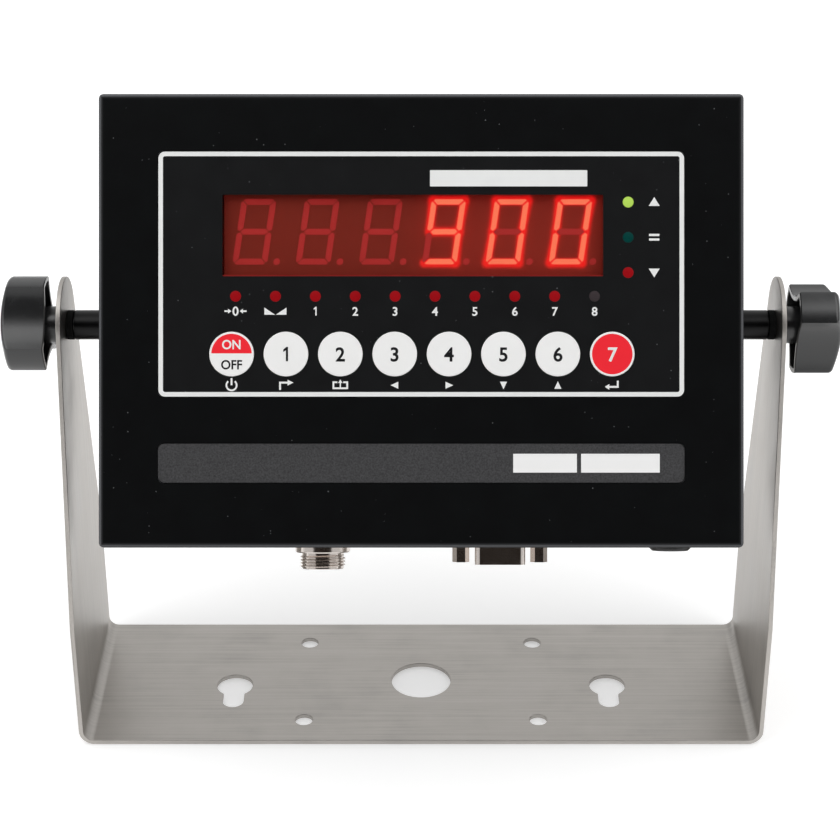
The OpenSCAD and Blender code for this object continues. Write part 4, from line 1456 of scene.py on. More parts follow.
@dataclass
class Display:
    """The red window with six seven-segment modules behind it.

    Attributes:
        head: The head's frame.
        reading: The lit number, which ends in the last module.
        digit_w: Width of an upright digit.
        digit_h: Height of a digit.
        slant: How far a digit leans, in degrees.
        stroke: Width of a segment.
        gap: Half the gap between two segments.
        corner_cut: How much is cut off a digit's corners.
        point_d: Diameter of a decimal point.
        point_dx: Distance from a digit's right side to its decimal point.
        window_r: Radius of the window's corners.
        digit_rise: Height of the digits' middle above the window's.
        digit_dx: Place of a digit's middle right of its module's.
        halo_reach: Distance over which the painted glow round a lit segment fades.
        halo_spill: Distance over which the painted light behind a whole lit digit fades.
        halo_near: Strength of the painted glow.
        halo_far: Strength of the painted light behind a digit.
        halo_fall: Power of the painted glow's fall.
        unlit_t: Thickness of an unlit segment.
        unlit_back: How far the unlit segments lie behind the lit ones.
        face_back: The same for the modules' faces.
        block_back: The same for their blocks.
        halo_step: Spacing of the points that carry the painted glow.
        edge_glow: Height of the line with a painted glow along the pane's foot.
        window_w: Width of the window.
        window_h: Height of the window.
        count: Number of modules.
    """

    head: Head
    reading: str = "900"
    digit_w: float = 10.8
    digit_h: float = 20.3
    slant: float = 8.5
    stroke: float = 1.85
    gap: float = 0.19
    corner_cut: float = 1.0
    point_d: float = 2.1
    point_dx: float = 2.85
    window_r: float = 0.3
    digit_rise: float = 1.35
    digit_dx: float = -0.5
    halo_reach: float = 0.5
    halo_spill: float = 4.0
    halo_near: float = 0.85
    halo_far: float = 0.06
    halo_fall: float = 1.2
    unlit_t: float = 0.1
    unlit_back: float = 0.02
    face_back: float = 0.05
    block_back: float = 0.06
    halo_step: float = 0.25
    edge_glow: float = 0.45
    window_w: float = 117.2
    window_h: float = 25.1
    count: int = 6

    def __post_init__(self) -> None:
        """Takes the window's and the modules' places from the frame."""
        self.middle = self.head.middle("display_window")
        low, high = self.head.box("digit_modules")
        self.module_front = low.y
        self.module_back = high.y
        self.pitch = (high.x - low.x) / self.count
        self.first_x = low.x + self.pitch / 2
        self.module_z = (low.z, high.z)

    def opening(self) -> Outline:
        """Returns the window's outline in the film."""
        return round_rect((self.middle.x, self.middle.z), self.window_w, self.window_h, self.window_r)

    def build(self) -> None:
        """Makes the pane, the modules, their segments and the painted glow round the lit segments."""
        low, high = self.head.box("display_window")
        size = (high.x - low.x, high.z - low.z)
        pane = plate([round_rect((self.middle.x, self.middle.z), *size, 1.3)], low.y, high.y, 0.05)
        self.head.piece("window_pane", pane, PANE_RED, "red_window", ["display_window"])
        self.modules()
        # A thin line along the pane's foot that carries a painted glow.
        foot = self.middle.z - self.window_h / 2 + self.edge_glow / 2
        line = slab([round_rect((self.middle.x, foot), self.window_w, self.edge_glow, 0.1, 2)], PRINT_T)
        self.head.piece("window_edge_glow", facing(line, low.y), EDGE_GLOW, "red_window")
        lit_parts, dark_parts = [], []
        for i in range(self.count):
            lit = self.lit(i)
            for name, outline in self.segments(i).items():
                if name in lit:
                    lit_parts.append(self.lit_bar(outline))
                else:
                    dark_parts.append(slab([outline], self.unlit_t))
        self.head.piece("segments_on", facing(join(*lit_parts), self.module_front), SEGMENT_ON,
                        "digit_housing")
        # The unlit segments carry a painted glow from their finish.
        dark = facing(join(*dark_parts), self.module_front + self.unlit_back)
        self.head.piece("segments_off", dark, SEGMENT_OFF, "digit_housing")

    def lit(self, index: int) -> str:
        """Names the segments that are lit in a module.

        Args:
            index: The module's place from the left.

        Returns:
            Letters from a to g.
        """
        strokes = {"0": "abcdef", "9": "abcdfg"}
        place = index - (self.count - len(self.reading))
        return strokes[self.reading[place]] if place >= 0 else ""

    def segments(self, index: int) -> dict[str, Outline]:
        """Works out the outlines of a module's seven segments and its decimal point.

        Args:
            index: The module's place from the left.

        Returns:
            The outlines by name: a to g from the top clockwise, g in the middle, and the point.
        """
        half_w, half_h, cut = self.digit_w / 2, self.digit_h / 2, self.corner_cut
        inner_w, inner_h, gap = half_w - self.stroke, half_h - self.stroke, self.gap
        mid_w, t = half_w - self.stroke / 2, self.stroke / 2
        across = [(cut + gap - half_w, half_h), (half_w - cut - gap, half_h),
                  (half_w - cut / 2 - gap, half_h - cut / 2),
                  (inner_w - gap, inner_h), (gap - inner_w, inner_h),
                  (cut / 2 + gap - half_w, half_h - cut / 2)]
        upright = [(half_w, gap + t * 0.6), (half_w, half_h - cut - gap),
                   (half_w - cut / 2, half_h - cut / 2 - gap),
                   (inner_w, inner_h - gap), (inner_w, gap + t), (mid_w, gap)]
        middle = [(gap - mid_w, 0), (gap + t - mid_w, -t), (mid_w - t - gap, -t), (mid_w - gap, 0),
                  (mid_w - t - gap, t), (gap + t - mid_w, t)]
        flips = {"a": (across, 1, 1), "b": (upright, 1, 1), "c": (upright, 1, -1), "d": (across, 1, -1),
                 "e": (upright, -1, -1), "f": (upright, -1, 1), "g": (middle, 1, 1)}
        outlines = {name: [(u * sx, v * sz) for u, v in shape] for name, (shape, sx, sz) in flips.items()}
        point = (self.digit_w / 2 + self.point_dx, self.stroke / 2 - half_h)
        outlines["point"] = disc(point, self.point_d, 24)
        x = self.first_x + index * self.pitch + self.digit_dx
        return {name: self.leaned(outline, x) for name, outline in outlines.items()}

    def lit_bar(self, outline: Outline) -> Mesh:
        """Makes a lit segment, whose mesh stores how near each point is to its middle.

        Args:
            outline: The segment's outline.

        Returns:
            The segment, flat.
        """
        result = bmesh.new()
        layer = result.verts.layers.float.new(HALO)
        face = result.faces.new([result.verts.new((x, y, 0)) for x, y in outline])
        for share in (0.45, 0.85, 1.0):
            known = set(result.verts)
            bmesh.ops.inset_individual(result, faces=[face], thickness=self.stroke * 0.15,
                                       use_even_offset=True)
            for vertex in set(result.verts) - known:
                vertex[layer] = share
        if face.normal.z < 0:
            bmesh.ops.reverse_faces(result, faces=result.faces)
        return result

    def leaned(self, outline: Outline, x: float) -> Outline:
        """Leans an outline to the right and moves it to its module.

        Args:
            outline: The outline round the origin.
            x: Place of the digit's middle.

        Returns:
            The leaned outline.
        """
        lean = math.tan(math.radians(self.slant))
        z = self.middle.z + self.digit_rise
        return [(x + u + v * lean, z + v) for u, v in outline]

    def modules(self) -> None:
        """Makes the modules as blocks whose faces carry the painted glow of the lit segments."""
        blocks = []
        bottom, top = self.module_z
        for i in range(self.count):
            x = self.first_x + i * self.pitch
            outline = round_rect((x, (bottom + top) / 2), self.pitch - 0.02, top - bottom, 0.05, 2)
            blocks.append(plate([outline], self.module_front + self.block_back, self.module_back))
        self.head.piece("module_blocks", join(*blocks), DIGIT_HOUSING, "digit_housing", ["digit_modules"])
        width = self.pitch * self.count
        columns, rows = round(width / self.halo_step), round((top - bottom) / self.halo_step)
        sheet = bmesh.new()
        bmesh.ops.create_grid(sheet, x_segments=columns, y_segments=rows, size=0.5)
        centre = (self.first_x + (self.count - 1) / 2 * self.pitch, (bottom + top) / 2)
        stretch = Matrix.Translation((*centre, 0)) @ Matrix.Diagonal((width, top - bottom, 1, 1))
        bmesh.ops.transform(sheet, matrix=stretch, verts=sheet.verts)
        strokes = self.lit_strokes()
        layer = sheet.verts.layers.float.new(HALO)
        # Each point of the module faces stores how strongly the painted glow lights it.
        for vertex in sheet.verts:
            vertex[layer] = self.halo(vertex.co.xy, strokes)
        faces = facing(sheet, self.module_front + self.face_back)
        self.head.piece("module_faces", faces, MODULE_RED, "digit_housing")

    def lit_strokes(self) -> list[tuple[Vector, Vector]]:
        """Returns the two ends of the middle line of each lit segment."""
        strokes = []
        for i in range(self.count):
            outlines = self.segments(i)
            for name in self.lit(i):
                spots = [Vector(p) for p in outlines[name]]
                pair = max(((a, b) for a in spots for b in spots), key=lambda ab: (ab[0] - ab[1]).length)
                strokes.append(pair)
        return strokes

    def halo(self, spot: Vector, strokes: list[tuple[Vector, Vector]]) -> float:
        """Works out how strongly the painted glow of the lit segments lights a point.

        Args:
            spot: The point.
            strokes: The ends of the lit segments' middle lines.

        Returns:
            A share from 0 to 1.
        """
        dimness = 1.0
        for start, end in strokes:
            line = end - start
            t = min(max((spot - start).dot(line) / line.length_squared, 0.0), 1.0)
            gap = max((spot - start - line * t).length - self.stroke / 2, 0.0)
            near = self.halo_near * math.exp(-(gap / self.halo_reach) ** self.halo_fall)
            dimness *= 1 - near - self.halo_far * math.exp(-gap / self.halo_spill)
        return 1 - dimness


DIGIT_HOUSING = Finish("digit_housing", (60, 18, 16), 0.6, specular=0.2)


@dataclass
class Lamps:
    """The row of status lamps and the three limit lamps.

    Attributes:
        head: The head's frame.
        count: Number of status lamps.
        limits: Number of limit lamps.
        lens_d: Diameter of the part of a lamp that shows.
        collar_d: Diameter of a lamp's collar.
    """

    head: Head
    count: int = 10
    limits: int = 3
    lens_d: float = 3.4
    collar_d: float = 4.4

    def __post_init__(self) -> None:
        """Takes the lamps' places from the frame."""
        self.status_box = self.head.box("status_lamps")
        self.limit_box = self.head.box("limit_lamps")

    def status_places(self) -> list[Point]:
        """Returns the middles of the status lamps from the left."""
        low, high = self.status_box
        step = (high.x - low.x - self.collar_d) / (self.count - 1)
        return [(low.x + self.collar_d / 2 + i * step, (low.z + high.z) / 2) for i in range(self.count)]

    def limit_places(self) -> list[Point]:
        """Returns the middles of the limit lamps from the top."""
        low, high = self.limit_box
        step = (high.z - low.z - self.collar_d) / (self.limits - 1)
        return [((low.x + high.x) / 2, high.z - self.collar_d / 2 - i * step) for i in range(self.limits)]

    def openings(self) -> list[Outline]:
        """Returns the holes in the film's black print, one over each lamp."""
        return [disc(place, self.lens_d, STEPS) for place in self.status_places() + self.limit_places()]

    def build(self) -> None:
        """Makes the lamps, each with a lens flush in the film."""
        film_front = self.head.box("keypad_film")[0].y
        status = [self.lamp(p, film_front, self.status_box) for p in self.status_places()]
        self.head.piece("status_lamp_set", join(*status[:-1]), LAMP_RED, "lamp_red", ["status_lamps"])
        self.head.piece("status_lamp_last", status[-1], LAMP_GREY, "lamp_red")
        finishes = (LAMP_GREEN, LAMP_TEAL, LAMP_RED)
        names = ("limit_lamp_high", "limit_lamp_middle", "limit_lamp_low")
        for i, (place, finish, name) in enumerate(zip(self.limit_places(), finishes, names)):
            replaced = ["limit_lamps"] if i == 0 else []
            self.head.piece(name, self.lamp(place, film_front, self.limit_box), finish, "lamp_mixed",
                            replaced)

    def lamp(self, place: Point, film_front: float, box: tuple[Vector, Vector]) -> Mesh:
        """Makes a lamp.

        Args:
            place: Its middle.
            film_front: Where the film's face lies.
            box: The box of its row.

        Returns:
            The lamp, from its collar on the board to its lens.
        """
        foot, lens_r, collar_r = box[1].y, self.lens_d / 2 - 0.02, self.collar_d / 2
        profile = [(0, foot), (collar_r, foot), (collar_r, foot - 1), (lens_r, foot - 1),
                   (lens_r, film_front + 0.12), (lens_r * 0.8, film_front + 0.04), (0, film_front + 0.02)]
        return turned(profile, Along.Y, (place[0], 0, place[1]), STEPS)


@dataclass
class Keys:
    """Eight round keys with printed tops.

    Attributes:
        head: The head's frame.
        count: Number of keys.
        dome: How far a top bulges; not used.
        rim: Radius of a top's edge.
        ring: Width of the white ring round a red top.
        play: Gap between a top and the hole in the film that the solid leaves out.
        clearance: How much wider than a key its hole in the film is.
        number_h: Height of a number.
        word_h: Height of ON and OFF.
        word_w: How much narrower than the font they are.
        word_z: Places of ON and OFF above the key's middle.
    """

    head: Head
    count: int = 8
    dome: float = 0.06
    rim: float = 0.25
    ring: float = 0.65
    play: float = 0.12
    clearance: float = 0.4
    number_h: float = 4.4
    word_h: float = 2.9
    word_w: float = 0.94
    word_z: Point = (3.0, -3.2)

    def names(self) -> list[str]:
        """Returns the keys' names from the left."""
        return [f"key_{i}" for i in range(1, self.count + 1)]

    def places(self) -> list[Point]:
        """Returns the keys' middles from the left."""
        middles = [self.head.middle(name) for name in self.names()]
        return [(middle.x, middle.z) for middle in middles]

    def openings(self) -> list[Outline]:
        """Returns the holes in the film, one round each key."""
        low, high = self.head.box("key_1")
        width = high.x - low.x
        return [disc(place, width + self.clearance, FINE_STEPS) for place in self.places()]

    def build(self) -> None:
        """Makes the keys and their prints."""
        for i, (name, place) in enumerate(zip(self.names(), self.places())):
            low, high = self.head.box(name)
            self.radius = (high.x - low.x) / 2 - self.play
            cap = self.cap(place, low.y, high.y)
            self.head.piece(f"{name}_cap", cap, KEY_WHITE, "key_white", [name], body=name)
            if i == 0:
                self.switch_print(name, place, low.y)
            elif i == self.count - 1:
                self.red_print(name, place, low.y, str(i))
            else:
                label = numeral(str(i), place, self.number_h)
                self.head.piece(f"{name}_print", facing(label, low.y), INK_BLACK, "key_white", body=name)

    def cap(self, place: Point, front: float, tip: float) -> Mesh:
        """Makes a key with its stem.

        Args:
            place: The key's middle.
            front: Place of its face.
            tip: Place of its stem's tip.

        Returns:
            The key.
        """
        r, top_t, rib_t, rib_r, stem_r = self.radius, 1.2, 2.4, 4.0, 1.75
        sharp = [(0, front), (r, front), (r, front + top_t), (rib_r, front + top_t),
                 (rib_r, front + top_t + rib_t), (stem_r, front + top_t + rib_t), (stem_r, tip), (0, tip)]
        return turned(softened(sharp, self.rim, closed=False), Along.Y, (place[0], 0, place[1]), FINE_STEPS)

    def switch_print(self, name: str, place: Point, front: float) -> None:
        """Prints the first key: a red upper half with ON and a white lower half with OFF.

        Args:
            name: The key's name.
            place: The key's middle.
            front: Place of its face.
        """
        x, z = place
        half = arc((x, z), self.radius - self.ring, 2, 178, STEPS)
        self.head.piece(f"{name}_red", facing(slab([half], PRINT_T), front), KEY_RED, "key_red", body=name)
        on_print = lettering("ON", (x, z + self.word_z[0]), self.word_h, self.word_w)
        self.head.piece(f"{name}_on", facing(on_print, front - PRINT_T), INK_WHITE, "key_white", body=name)
        off_print = lettering("OFF", (x, z + self.word_z[1]), self.word_h, self.word_w)
        self.head.piece(f"{name}_off", facing(off_print, front), INK_BLACK, "key_white", body=name)

    def red_print(self, name: str, place: Point, front: float, text: str) -> None:
        """Prints the last key: a red disc inside a white ring, with its number in white.

        Args:
            name: The key's name.
            place: The key's middle.
            front: Place of its face.
            text: The number.
        """
        field_print = slab([disc(place, 2 * (self.radius - self.ring), FINE_STEPS)], PRINT_T)
        self.head.piece(f"{name}_red", facing(field_print, front), KEY_RED, "key_red", body=name)
        number = numeral(text, place, self.number_h)
        self.head.piece(f"{name}_print", facing(number, front - PRINT_T), INK_WHITE, "key_white", body=name)


@dataclass
class LabelStrip:
    """The textured label strip with its two bare white fields.

    Attributes:
        head: The head's frame.
        corner_r: Radius of the strip's corners.
        edge: Radius of the edge round its face.
    """

    head: Head
    corner_r: float = 2.0
    edge: float = 0.14

    def build(self) -> None:
        """Makes the strip, and gives the fields their finish."""
        low, high = self.head.box("label_strip")
        centre = ((low.x + high.x) / 2, (low.z + high.z) / 2)
        outline = round_rect(centre, high.x - low.x, high.z - low.z, self.corner_r)
        strip = plate([outline], low.y, high.y, self.edge)
        self.head.piece("strip_plate", strip, STRIP_GREY, "strip", ["label_strip"])
        dress("label_fields", LABEL_WHITE)


@dataclass
class Sockets:
    """The load cell socket, the nine-pin socket and the power inlet in the underside.

    Attributes:
        head: The head's frame.
        thread_pitch: Pitch of the load cell socket's thread.
        thread_depth: Depth of that thread.
        flange_d: Diameter of its flange.
        flange_t: Thickness of its flange.
        bore_d: Diameter of its bore.
        steps: Steps of a turn.
        thread_r: Radius of the thread's crest.
        bevel: Its smaller bevels.
        flange_bevel: Bevel of its flange.
        shell_rim: Radius of the nine-pin socket's edges.
        inlet_rim: Radius of the power inlet's edges.
    """

    head: Head
    thread_pitch: float = 1.0
    thread_depth: float = 0.55
    flange_d: float = 17.8
    flange_t: float = 3.0
    bore_d: float = 12.0
    steps: int = 64
    thread_r: float = 7.325
    bevel: float = 0.25
    flange_bevel: float = 0.35
    shell_rim: float = 0.12
    inlet_rim: float = 0.15

    def build(self) -> None:
        """Makes the three sockets."""
        self.under = self.head.box("front_case")[0].z
        self.cell()
        self.shells()

    def cell(self) -> None:
        """Makes the threaded shell of the load cell socket with its bevelled flange."""
        low, high = self.head.box("cell_socket")
        centre = (self.head.middle("cell_socket").x, self.head.middle("cell_insert").y)
        bore = self.bore_d / 2
        flange_low = self.under - self.flange_t
        foot = low.z
        root, flange_r = self.thread_r - self.thread_depth, self.flange_d / 2
        bevel, wide = self.bevel, self.flange_bevel
        profile = [(bore, high.z), (bore, foot + 0.4), (bore + 0.3, foot), (root - bevel, foot),
                   (root, foot + bevel), (root, flange_low), (flange_r - wide, flange_low),
                   (flange_r, flange_low + wide), (flange_r, self.under - bevel),
                   (flange_r - 0.2, self.under), (root, self.under), (root, high.z)]
        core = turned(profile, Along.Z, (*centre, 0), self.steps, closed=True)
        ridge = self.ridge(centre, root, foot + 0.35, flange_low - 0.9)
        self.head.piece("cell_shell", join(core, ridge), NICKEL, "nickel", ["cell_socket"], sharp=25)

    def ridge(self, centre: Point, root: float, start: float, end: float) -> Mesh:
        """Makes the ridge of a thread.

        Args:
            centre: The thread's axis.
            root: Radius at which the ridge stands.
            start: Height of its lower end.
            end: Height of its upper end.

        Returns:
            The ridge, fading out at both ends.
        """
        count = int((end - start) / self.thread_pitch * self.steps)
        rings = []
        for i in range(count + 1):
            fade = min(1.0, 4 * i / self.steps, 4 * (count - i) / self.steps)
            crest = root + self.thread_depth * fade
            z = start + i * self.thread_pitch / self.steps
            half, tip = self.thread_pitch * 0.42, self.thread_pitch * 0.09
            corners = [(root - 0.1, z - half), (crest, z - tip), (crest, z + tip), (root - 0.1, z + half)]
            rings.append([self.around(centre, r, h, i) for r, h in corners])
        return lofted(rings)

    def around(self, centre: Point, radius: float, z: float, k: int) -> Vector:
        """Returns a point round a vertical axis."""
        angle = 2 * math.pi * k / self.steps
        return Vector((centre[0] + radius * math.cos(angle), centre[1] + radius * math.sin(angle), z))

    def shells(self) -> None:
        """Dresses the insert, the nine-pin socket with its posts and the power inlet."""
        dress("cell_insert", INSULATOR)
        for node, finish, rim in (
            ("serial_shell", NICKEL, self.shell_rim), ("serial_insert", INSULATOR, self.shell_rim),
            ("serial_posts", NICKEL, self.shell_rim), ("power_inlet", INLET_PLASTIC, self.inlet_rim),
        ):
            dress(node, finish)
            soften_node(node, rim)


@dataclass
class Knob:
    """A clamping knob with three lobes, hollow behind, with a domed face.

    Attributes:
        head: The head's frame.
        side: The side that it is on.
        turn: How far its first lobe is turned up from the front, in degrees.
        lobe_r: Radius of the circle round its lobes.
        waist_r: Distance from its centre to the middle of a hollow.
        lobe_angle: Angle that a lobe takes up.
        wall: Thickness of its skirt.
        web: Thickness of the web behind its face.
        dome: Height of its dome.
        hub_r: Radius of its hub.
        insert_r: Radius of the threaded insert.
        rim: Radius of the edge between face and skirt.
        hub_out: How far the hub stands out of the skirt.
        lip: Radius of the skirt's lip.
        steps: Points round the outline.
        lobes: Number of lobes.
    """

    head: Head
    side: Side
    turn: float
    lobe_r: float = 15.6
    waist_r: float = 9.4
    lobe_angle: float = 40.0
    wall: float = 1.6
    web: float = 3.0
    dome: float = 3.0
    hub_r: float = 6.0
    insert_r: float = 4.25
    rim: float = 1.1
    hub_out: float = 4.2
    lip: float = 0.25
    steps: int = 180
    lobes: int = 3

    def build(self) -> None:
        """Makes the knob."""
        name = f"knob_{self.side.name.lower()}"
        low, high = self.head.box(name)
        self.hub_x, self.top_x = (low.x, high.x) if self.side is Side.RIGHT else (-high.x, -low.x)
        rim_x = self.hub_x + self.hub_out
        edge_x = self.top_x - self.dome
        web_x = edge_x - self.web
        rings = [self.ring(self.lip, rim_x), self.ring(0.0, rim_x + 0.3)]
        for k in range(6):
            angle = math.radians(90 * k / 5)
            inset = self.rim * (1 - math.cos(angle))
            rings.append(self.domed(inset, -self.rim * (1 - math.sin(angle))))
        for share in (0.85, 0.7, 0.55, 0.4, 0.25, 0.1):
            rings.append(self.domed(self.rim, 0.0, share))
        outer = rings + [[Vector((self.sign * self.top_x, 0, 0))]]
        inner = [self.ring(self.wall - 0.2, rim_x), self.ring(self.wall, rim_x + self.lip),
                 self.ring(self.wall + 0.5, web_x - 0.8), self.ring(self.wall + 1.2, web_x),
                 self.circle(self.hub_r + 0.6, web_x), self.circle(self.hub_r, web_x - 0.6),
                 self.circle(self.hub_r, self.hub_x + 0.4), self.circle(self.hub_r - 0.4, self.hub_x),
                 self.circle(self.insert_r, self.hub_x), self.circle(self.insert_r, web_x),
                 [Vector((self.sign * web_x, 0, 0))]]
        mesh = lofted(list(reversed(outer)) + inner, close_ends=False)
        bmesh.ops.recalc_face_normals(mesh, faces=mesh.faces)
        self.head.piece(f"{name}_grip", mesh, KNOB_PLASTIC, "knob_plastic", [name], sharp=34, body=self.body)

    @property
    def sign(self) -> int:
        """The side's sign along x."""
        return self.side.value

    @property
    def body(self) -> str:
        """The body that the knob rides on."""
        return f"{self.side.name.lower()}_knob"

    def radius(self, angle: float, inset: float) -> float:
        """Returns the outline's radius at an angle from the first lobe.

        Args:
            angle: The angle in radians.
            inset: How far the outline is drawn in.

        Returns:
            The radius.
        """
        half_gap = math.pi / self.lobes - math.radians(self.lobe_angle) / 2
        chord, sag = self.lobe_r * math.sin(half_gap), self.lobe_r * math.cos(half_gap) - self.waist_r
        hollow_r = (chord ** 2 + sag ** 2) / (2 * sag)
        reach = self.waist_r + hollow_r
        step = 2 * math.pi / self.lobes
        off = (angle % step) - step / 2
        big = hollow_r + inset
        across = reach * math.sin(off)
        lobe = self.lobe_r - inset
        if abs(across) >= big:
            return lobe
        hollow = reach * math.cos(off) - math.sqrt(big ** 2 - across ** 2)
        blend = 0.35
        overlap = max(blend - abs(lobe - hollow), 0.0) / blend
        return min(lobe, hollow) - overlap ** 2 * blend / 4

    def spot(self, angle: float, radius: float, x: float) -> Vector:
        """Places a point of the knob in the head's frame."""
        total = angle + math.radians(self.turn)
        return Vector((self.sign * x, -radius * math.cos(total), radius * math.sin(total)))

    def angles(self) -> list[float]:
        """Returns the angles of the outline's points."""
        return [2 * math.pi * i / self.steps for i in range(self.steps)]

    def ring(self, inset: float, x: float) -> list[Vector]:
        """Returns the outline at a distance from the middle plane."""
        return [self.spot(a, self.radius(a, inset), x) for a in self.angles()]

    def circle(self, radius: float, x: float) -> list[Vector]:
        """Returns a circle at a distance from the middle plane."""
        return [self.spot(a, radius, x) for a in self.angles()]

    def domed(self, inset: float, below: float, share: float = 1.0) -> list[Vector]:
        """Returns the outline laid on the dome.

        Args:
            inset: How far the outline is drawn in.
            below: Distance from the dome, negative towards the middle plane.
            share: Share of the outline's radius.

        Returns:
            The ring.
        """
        dome_r = (self.lobe_r ** 2 + self.dome ** 2) / (2 * self.dome)
        ring = []
        for a in self.angles():
            r = self.radius(a, inset) * share
            ring.append(self.spot(a, r, self.top_x - dome_r + math.sqrt(dome_r ** 2 - r ** 2) + below))
        return ring


@dataclass
class Pivot:
    """The sleeves, washers, studs and knobs on which the head turns.

    Attributes:
        head: The head's frame.
        stand: The stand's frame.
        bore_r: Radius of the bores for the stud.
        right_turn: How far the right knob's first lobe is turned up from the front.
        left_turn: The same for the left knob.
        rim: Radius of the rims of sleeves and washers.
    """

    head: Head
    stand: Place
    bore_r: float = 3.08
    right_turn: float = 19.5
    left_turn: float = 68.0
    rim: float = 0.3

    def build(self) -> None:
        """Makes the pieces of both sides."""
        for side, turn in ((Side.LEFT, self.left_turn), (Side.RIGHT, self.right_turn)):
            name = side.name.lower()
            low, high = self.head.box(f"spacer_{name}")
            sleeve = self.tube((high.z - low.z) / 2, low.x, high.x, (0, 0, 0))
            self.head.piece(f"sleeve_{name}", sleeve, SLEEVE_PLASTIC, "spacer_plastic", [f"spacer_{name}"])
            low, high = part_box(f"washer_{name}")
            pivot = self.head.pivot / MM
            washer = self.tube((high.z - low.z) / 2 / MM, low.x / MM, high.x / MM, (0, pivot.y, pivot.z))
            self.stand.piece(f"rubber_{name}", washer, RUBBER, "rubber", [f"washer_{name}"])
            dress(f"stud_{name}", SCREW_STEEL)
            dress(f"stud_nut_{name}", SCREW_STEEL)
            dress(f"knob_insert_{name}", BRASS)
            Knob(self.head, side, turn).build()

    def tube(self, radius: float, x_from: float, x_to: float, centre: Sequence[float]) -> Mesh:
        """Makes a sleeve along x with rounded rims."""
        corners = [(self.bore_r, x_from), (radius, x_from), (radius, x_to), (self.bore_r, x_to)]
        return turned(softened(corners, self.rim), Along.X, centre, closed=True)


@dataclass
class Inside:
    """The pieces behind the face and under the cover, which keep their CAD shapes.

    Attributes:
        finishes: The finish of each node.
    """

    finishes: dict[str, Finish] = field(default_factory=lambda: {
        "display_board": BOARD_GREEN, "display_board_screws": SCREW_STEEL, "key_switches": SWITCH_PLASTIC,
        "switch_domes": DOME_STEEL, "main_board": BOARD_GREEN, "main_board_screws": SCREW_STEEL,
        "main_board_parts": CHIP, "board_link": SWITCH_PLASTIC, "wire_headers": HEADER, "socket_wires": WIRE,
        "battery": BATTERY_CASE, "battery_bracket": ZINC, "battery_screws": SCREW_STEEL,
        "charger_board": BOARD_GREEN, "charger_screws": SCREW_STEEL,
        "cell_nut": NICKEL, "inlet_nut": SCREW_STEEL,
    })

    def build(self) -> None:
        """Gives each inner piece its finish."""
        for node, finish in self.finishes.items():
            dress(node, finish)
            LOG.info("dressed %s", node)


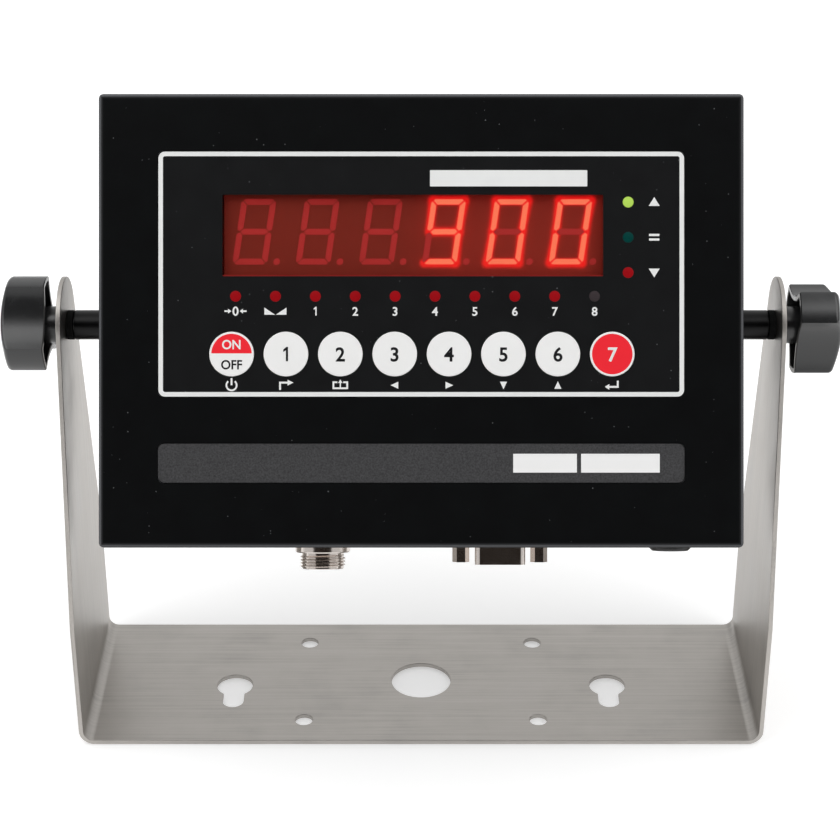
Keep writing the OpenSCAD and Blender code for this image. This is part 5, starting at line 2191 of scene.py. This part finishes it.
@dataclass
class Studio:
    """The pale floor, the soft lights and the camera.

    Attributes:
        head: The head's frame.
        focal_px: The camera's focal length in pixels of the photograph.
        image_px: Width of the photograph.
        sensor: Width of the camera's sensor.
        distance: Distance from the camera to the pivot's plane, in millimetres.
        drop: How far the camera's axis passes above the pivot, in millimetres.
        floor_size: Width of the floor in metres.
        world_strength: Light of the room.
        card_size: Width and height of the black card, and its distance from the pivot, in metres.
        shift: How far the camera stands to the left, in millimetres.
        paper: The floor's darkest and lightest level.
        paper_glow: Light that the floor shows to the camera and to reflections.
        floor_gap: How far the floor lies below the bracket, in metres.
        lamps: The lamps' names, places in metres and powers.
        lamp_size: Width of a lamp in metres.
    """

    head: Head
    focal_px: float = 2197.0
    image_px: float = 840.0
    sensor: float = 36.0
    distance: float = 706.0
    drop: float = 30.6
    floor_size: float = 8.0
    world_strength: float = 0.68
    card_size: tuple[float, float, float] = (1.7, 0.8, 1.1)
    shift: float = 0.38
    paper: tuple[float, float] = (0.78, 0.8)
    paper_glow: float = 0.42
    floor_gap: float = 0.0002
    lamps: tuple[tuple[str, Point3, float], ...] = (
        ("key_light", (-0.9, -0.35, 1.4), 10.5),
        ("fill_light", (1.0, -0.35, 1.3), 8.5),
        ("rim_light", (0.1, 1.2, 1.3), 1.5),
    )
    lamp_size: float = 1.4

    def build(self) -> None:
        """Makes the studio."""
        self.camera()
        self.floor()
        self.world()
        self.card()
        for name, place, watts in self.lamps:
            self.lamp(name, place, watts)
        view = bpy.context.scene.view_settings
        view.view_transform = "Standard"

    def camera(self) -> None:
        """Places the camera square to the face, at the photograph's distance."""
        data = bpy.data.cameras.new("camera")
        data.sensor_width = self.sensor
        data.lens = self.focal_px / self.image_px * self.sensor
        made = self.hung("camera", data)
        turn = Matrix.Rotation(-self.head.tilt, 4, "X")
        spot = self.head.pivot + turn @ Vector((-self.shift, -self.distance, -self.drop)) * MM
        made.matrix_world = Matrix.Translation(spot) @ turn @ Matrix.Rotation(math.radians(90), 4, "X")
        bpy.context.scene.camera = made

    @staticmethod
    def hung(name: str, data: bpy.types.ID) -> bpy.types.Object:
        """Puts data into the scene as an object.

        Args:
            name: The object's name.
            data: A mesh, a lamp or a camera.

        Returns:
            The object.
        """
        made = bpy.data.objects.new(name, data)
        bpy.context.scene.collection.objects.link(made)
        return made

    def sheet(self, name: str, width: float, height: float, place: Matrix, material: Material) -> None:
        """Puts a flat sheet into the studio.

        Args:
            name: Its name.
            width: Its width in metres.
            height: Its height in metres.
            place: Where it goes, from lying round the origin.
            material: Its material.
        """
        mesh = bmesh.new()
        bmesh.ops.create_grid(mesh, x_segments=1, y_segments=1, size=0.5)
        stretch = Matrix.Diagonal((width, height, 1, 1))
        bmesh.ops.transform(mesh, matrix=place @ stretch, verts=mesh.verts)
        data = bpy.data.meshes.new(name)
        mesh.to_mesh(data)
        mesh.free()
        data.materials.append(material)
        self.hung(name, data)

    def card(self) -> None:
        """Hangs a black card behind the camera, which polished faces turned to the front reflect."""
        width, height, distance = self.card_size
        turn = Matrix.Rotation(-self.head.tilt, 4, "X")
        place = Matrix.Translation(self.head.pivot + turn @ Vector((0, -distance, 0)))
        stand_up = turn @ Matrix.Rotation(math.radians(90), 4, "X")
        self.sheet("card", width, height, place @ stand_up, CARD_BLACK.material())

    def floor(self) -> None:
        """Makes the floor: pale, and seen as white where nothing shades it."""
        graph = Graph(bpy.data.materials.new("floor_paper"))
        soft = graph.noise(graph.place([60.0] * 3))
        rays = graph.add("ShaderNodeLightPath", {}, {})
        kinds = [Value(graph, rays.outputs[kind]) for kind in FLOOR_GLOW_RAYS]
        seen = (kinds[0] + kinds[1] + kinds[2]).clamped()
        dark, light = ((level, level, level, 1.0) for level in self.paper)
        paper = graph.add("ShaderNodeBsdfDiffuse", {}, {"Color": graph.mixed(soft, dark, light)})
        glow = graph.add("ShaderNodeEmission", {}, {"Color": WHITE, "Strength": seen * self.paper_glow})
        both = graph.add("ShaderNodeAddShader", {}, {0: paper.outputs[0], 1: glow.outputs[0]})
        graph.end(both)
        place = Matrix.Translation((0, 0, -self.floor_gap))
        self.sheet("floor", self.floor_size, self.floor_size, place, graph.owner)

    def world(self) -> None:
        """Lights the room evenly, and shows it as white."""
        world = bpy.data.worlds.new("room")
        bpy.context.scene.world = world
        graph = Graph(world, "ShaderNodeOutputWorld")
        rays = graph.add("ShaderNodeLightPath", {}, {})
        seen = Value(graph, rays.outputs["Is Camera Ray"])
        level = self.world_strength + seen * (1 - self.world_strength)
        graph.end(graph.add("ShaderNodeBackground", {}, {"Color": WHITE, "Strength": level}))

    def lamp(self, name: str, place: Sequence[float], watts: float) -> None:
        """Hangs a soft square lamp that points at the indicator.

        Args:
            name: The lamp's name.
            place: Its place in metres.
            watts: Its power.
        """
        data = bpy.data.lights.new(name, "AREA")
        data.size = self.lamp_size
        data.energy = watts
        made = self.hung(name, data)
        towards = self.head.pivot - Vector(place)
        made.matrix_world = Matrix.Translation(place) @ towards.to_track_quat("-Z", "Y").to_matrix().to_4x4()


CARD_BLACK = Finish("card_black", (44, 38, 34), 0.9, specular=0.0)
FLOOR_GLOW_RAYS = ("Is Camera Ray", "Is Glossy Ray", "Is Transmission Ray")
WHITE = (1.0, 1.0, 1.0, 1.0)


def main() -> None:
    """Builds the studio and every sub-assembly in order."""
    logging.basicConfig(level=logging.INFO, format="%(name)s: %(message)s")
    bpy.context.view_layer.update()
    head = Head()
    stand = Place("stand", Matrix.Scale(MM, 4))
    Studio(head).build()
    Bracket(stand).build(head.pivot.z / MM)
    Case(head).build()
    display, lamps, keys = Display(head), Lamps(head), Keys(head)
    Keypad(head).build(display, lamps, keys)
    display.build()
    lamps.build()
    keys.build()
    LabelStrip(head).build()
    Sockets(head).build()
    Pivot(head, stand).build()
    Inside().build()


if __name__ == "__main__":
    main()
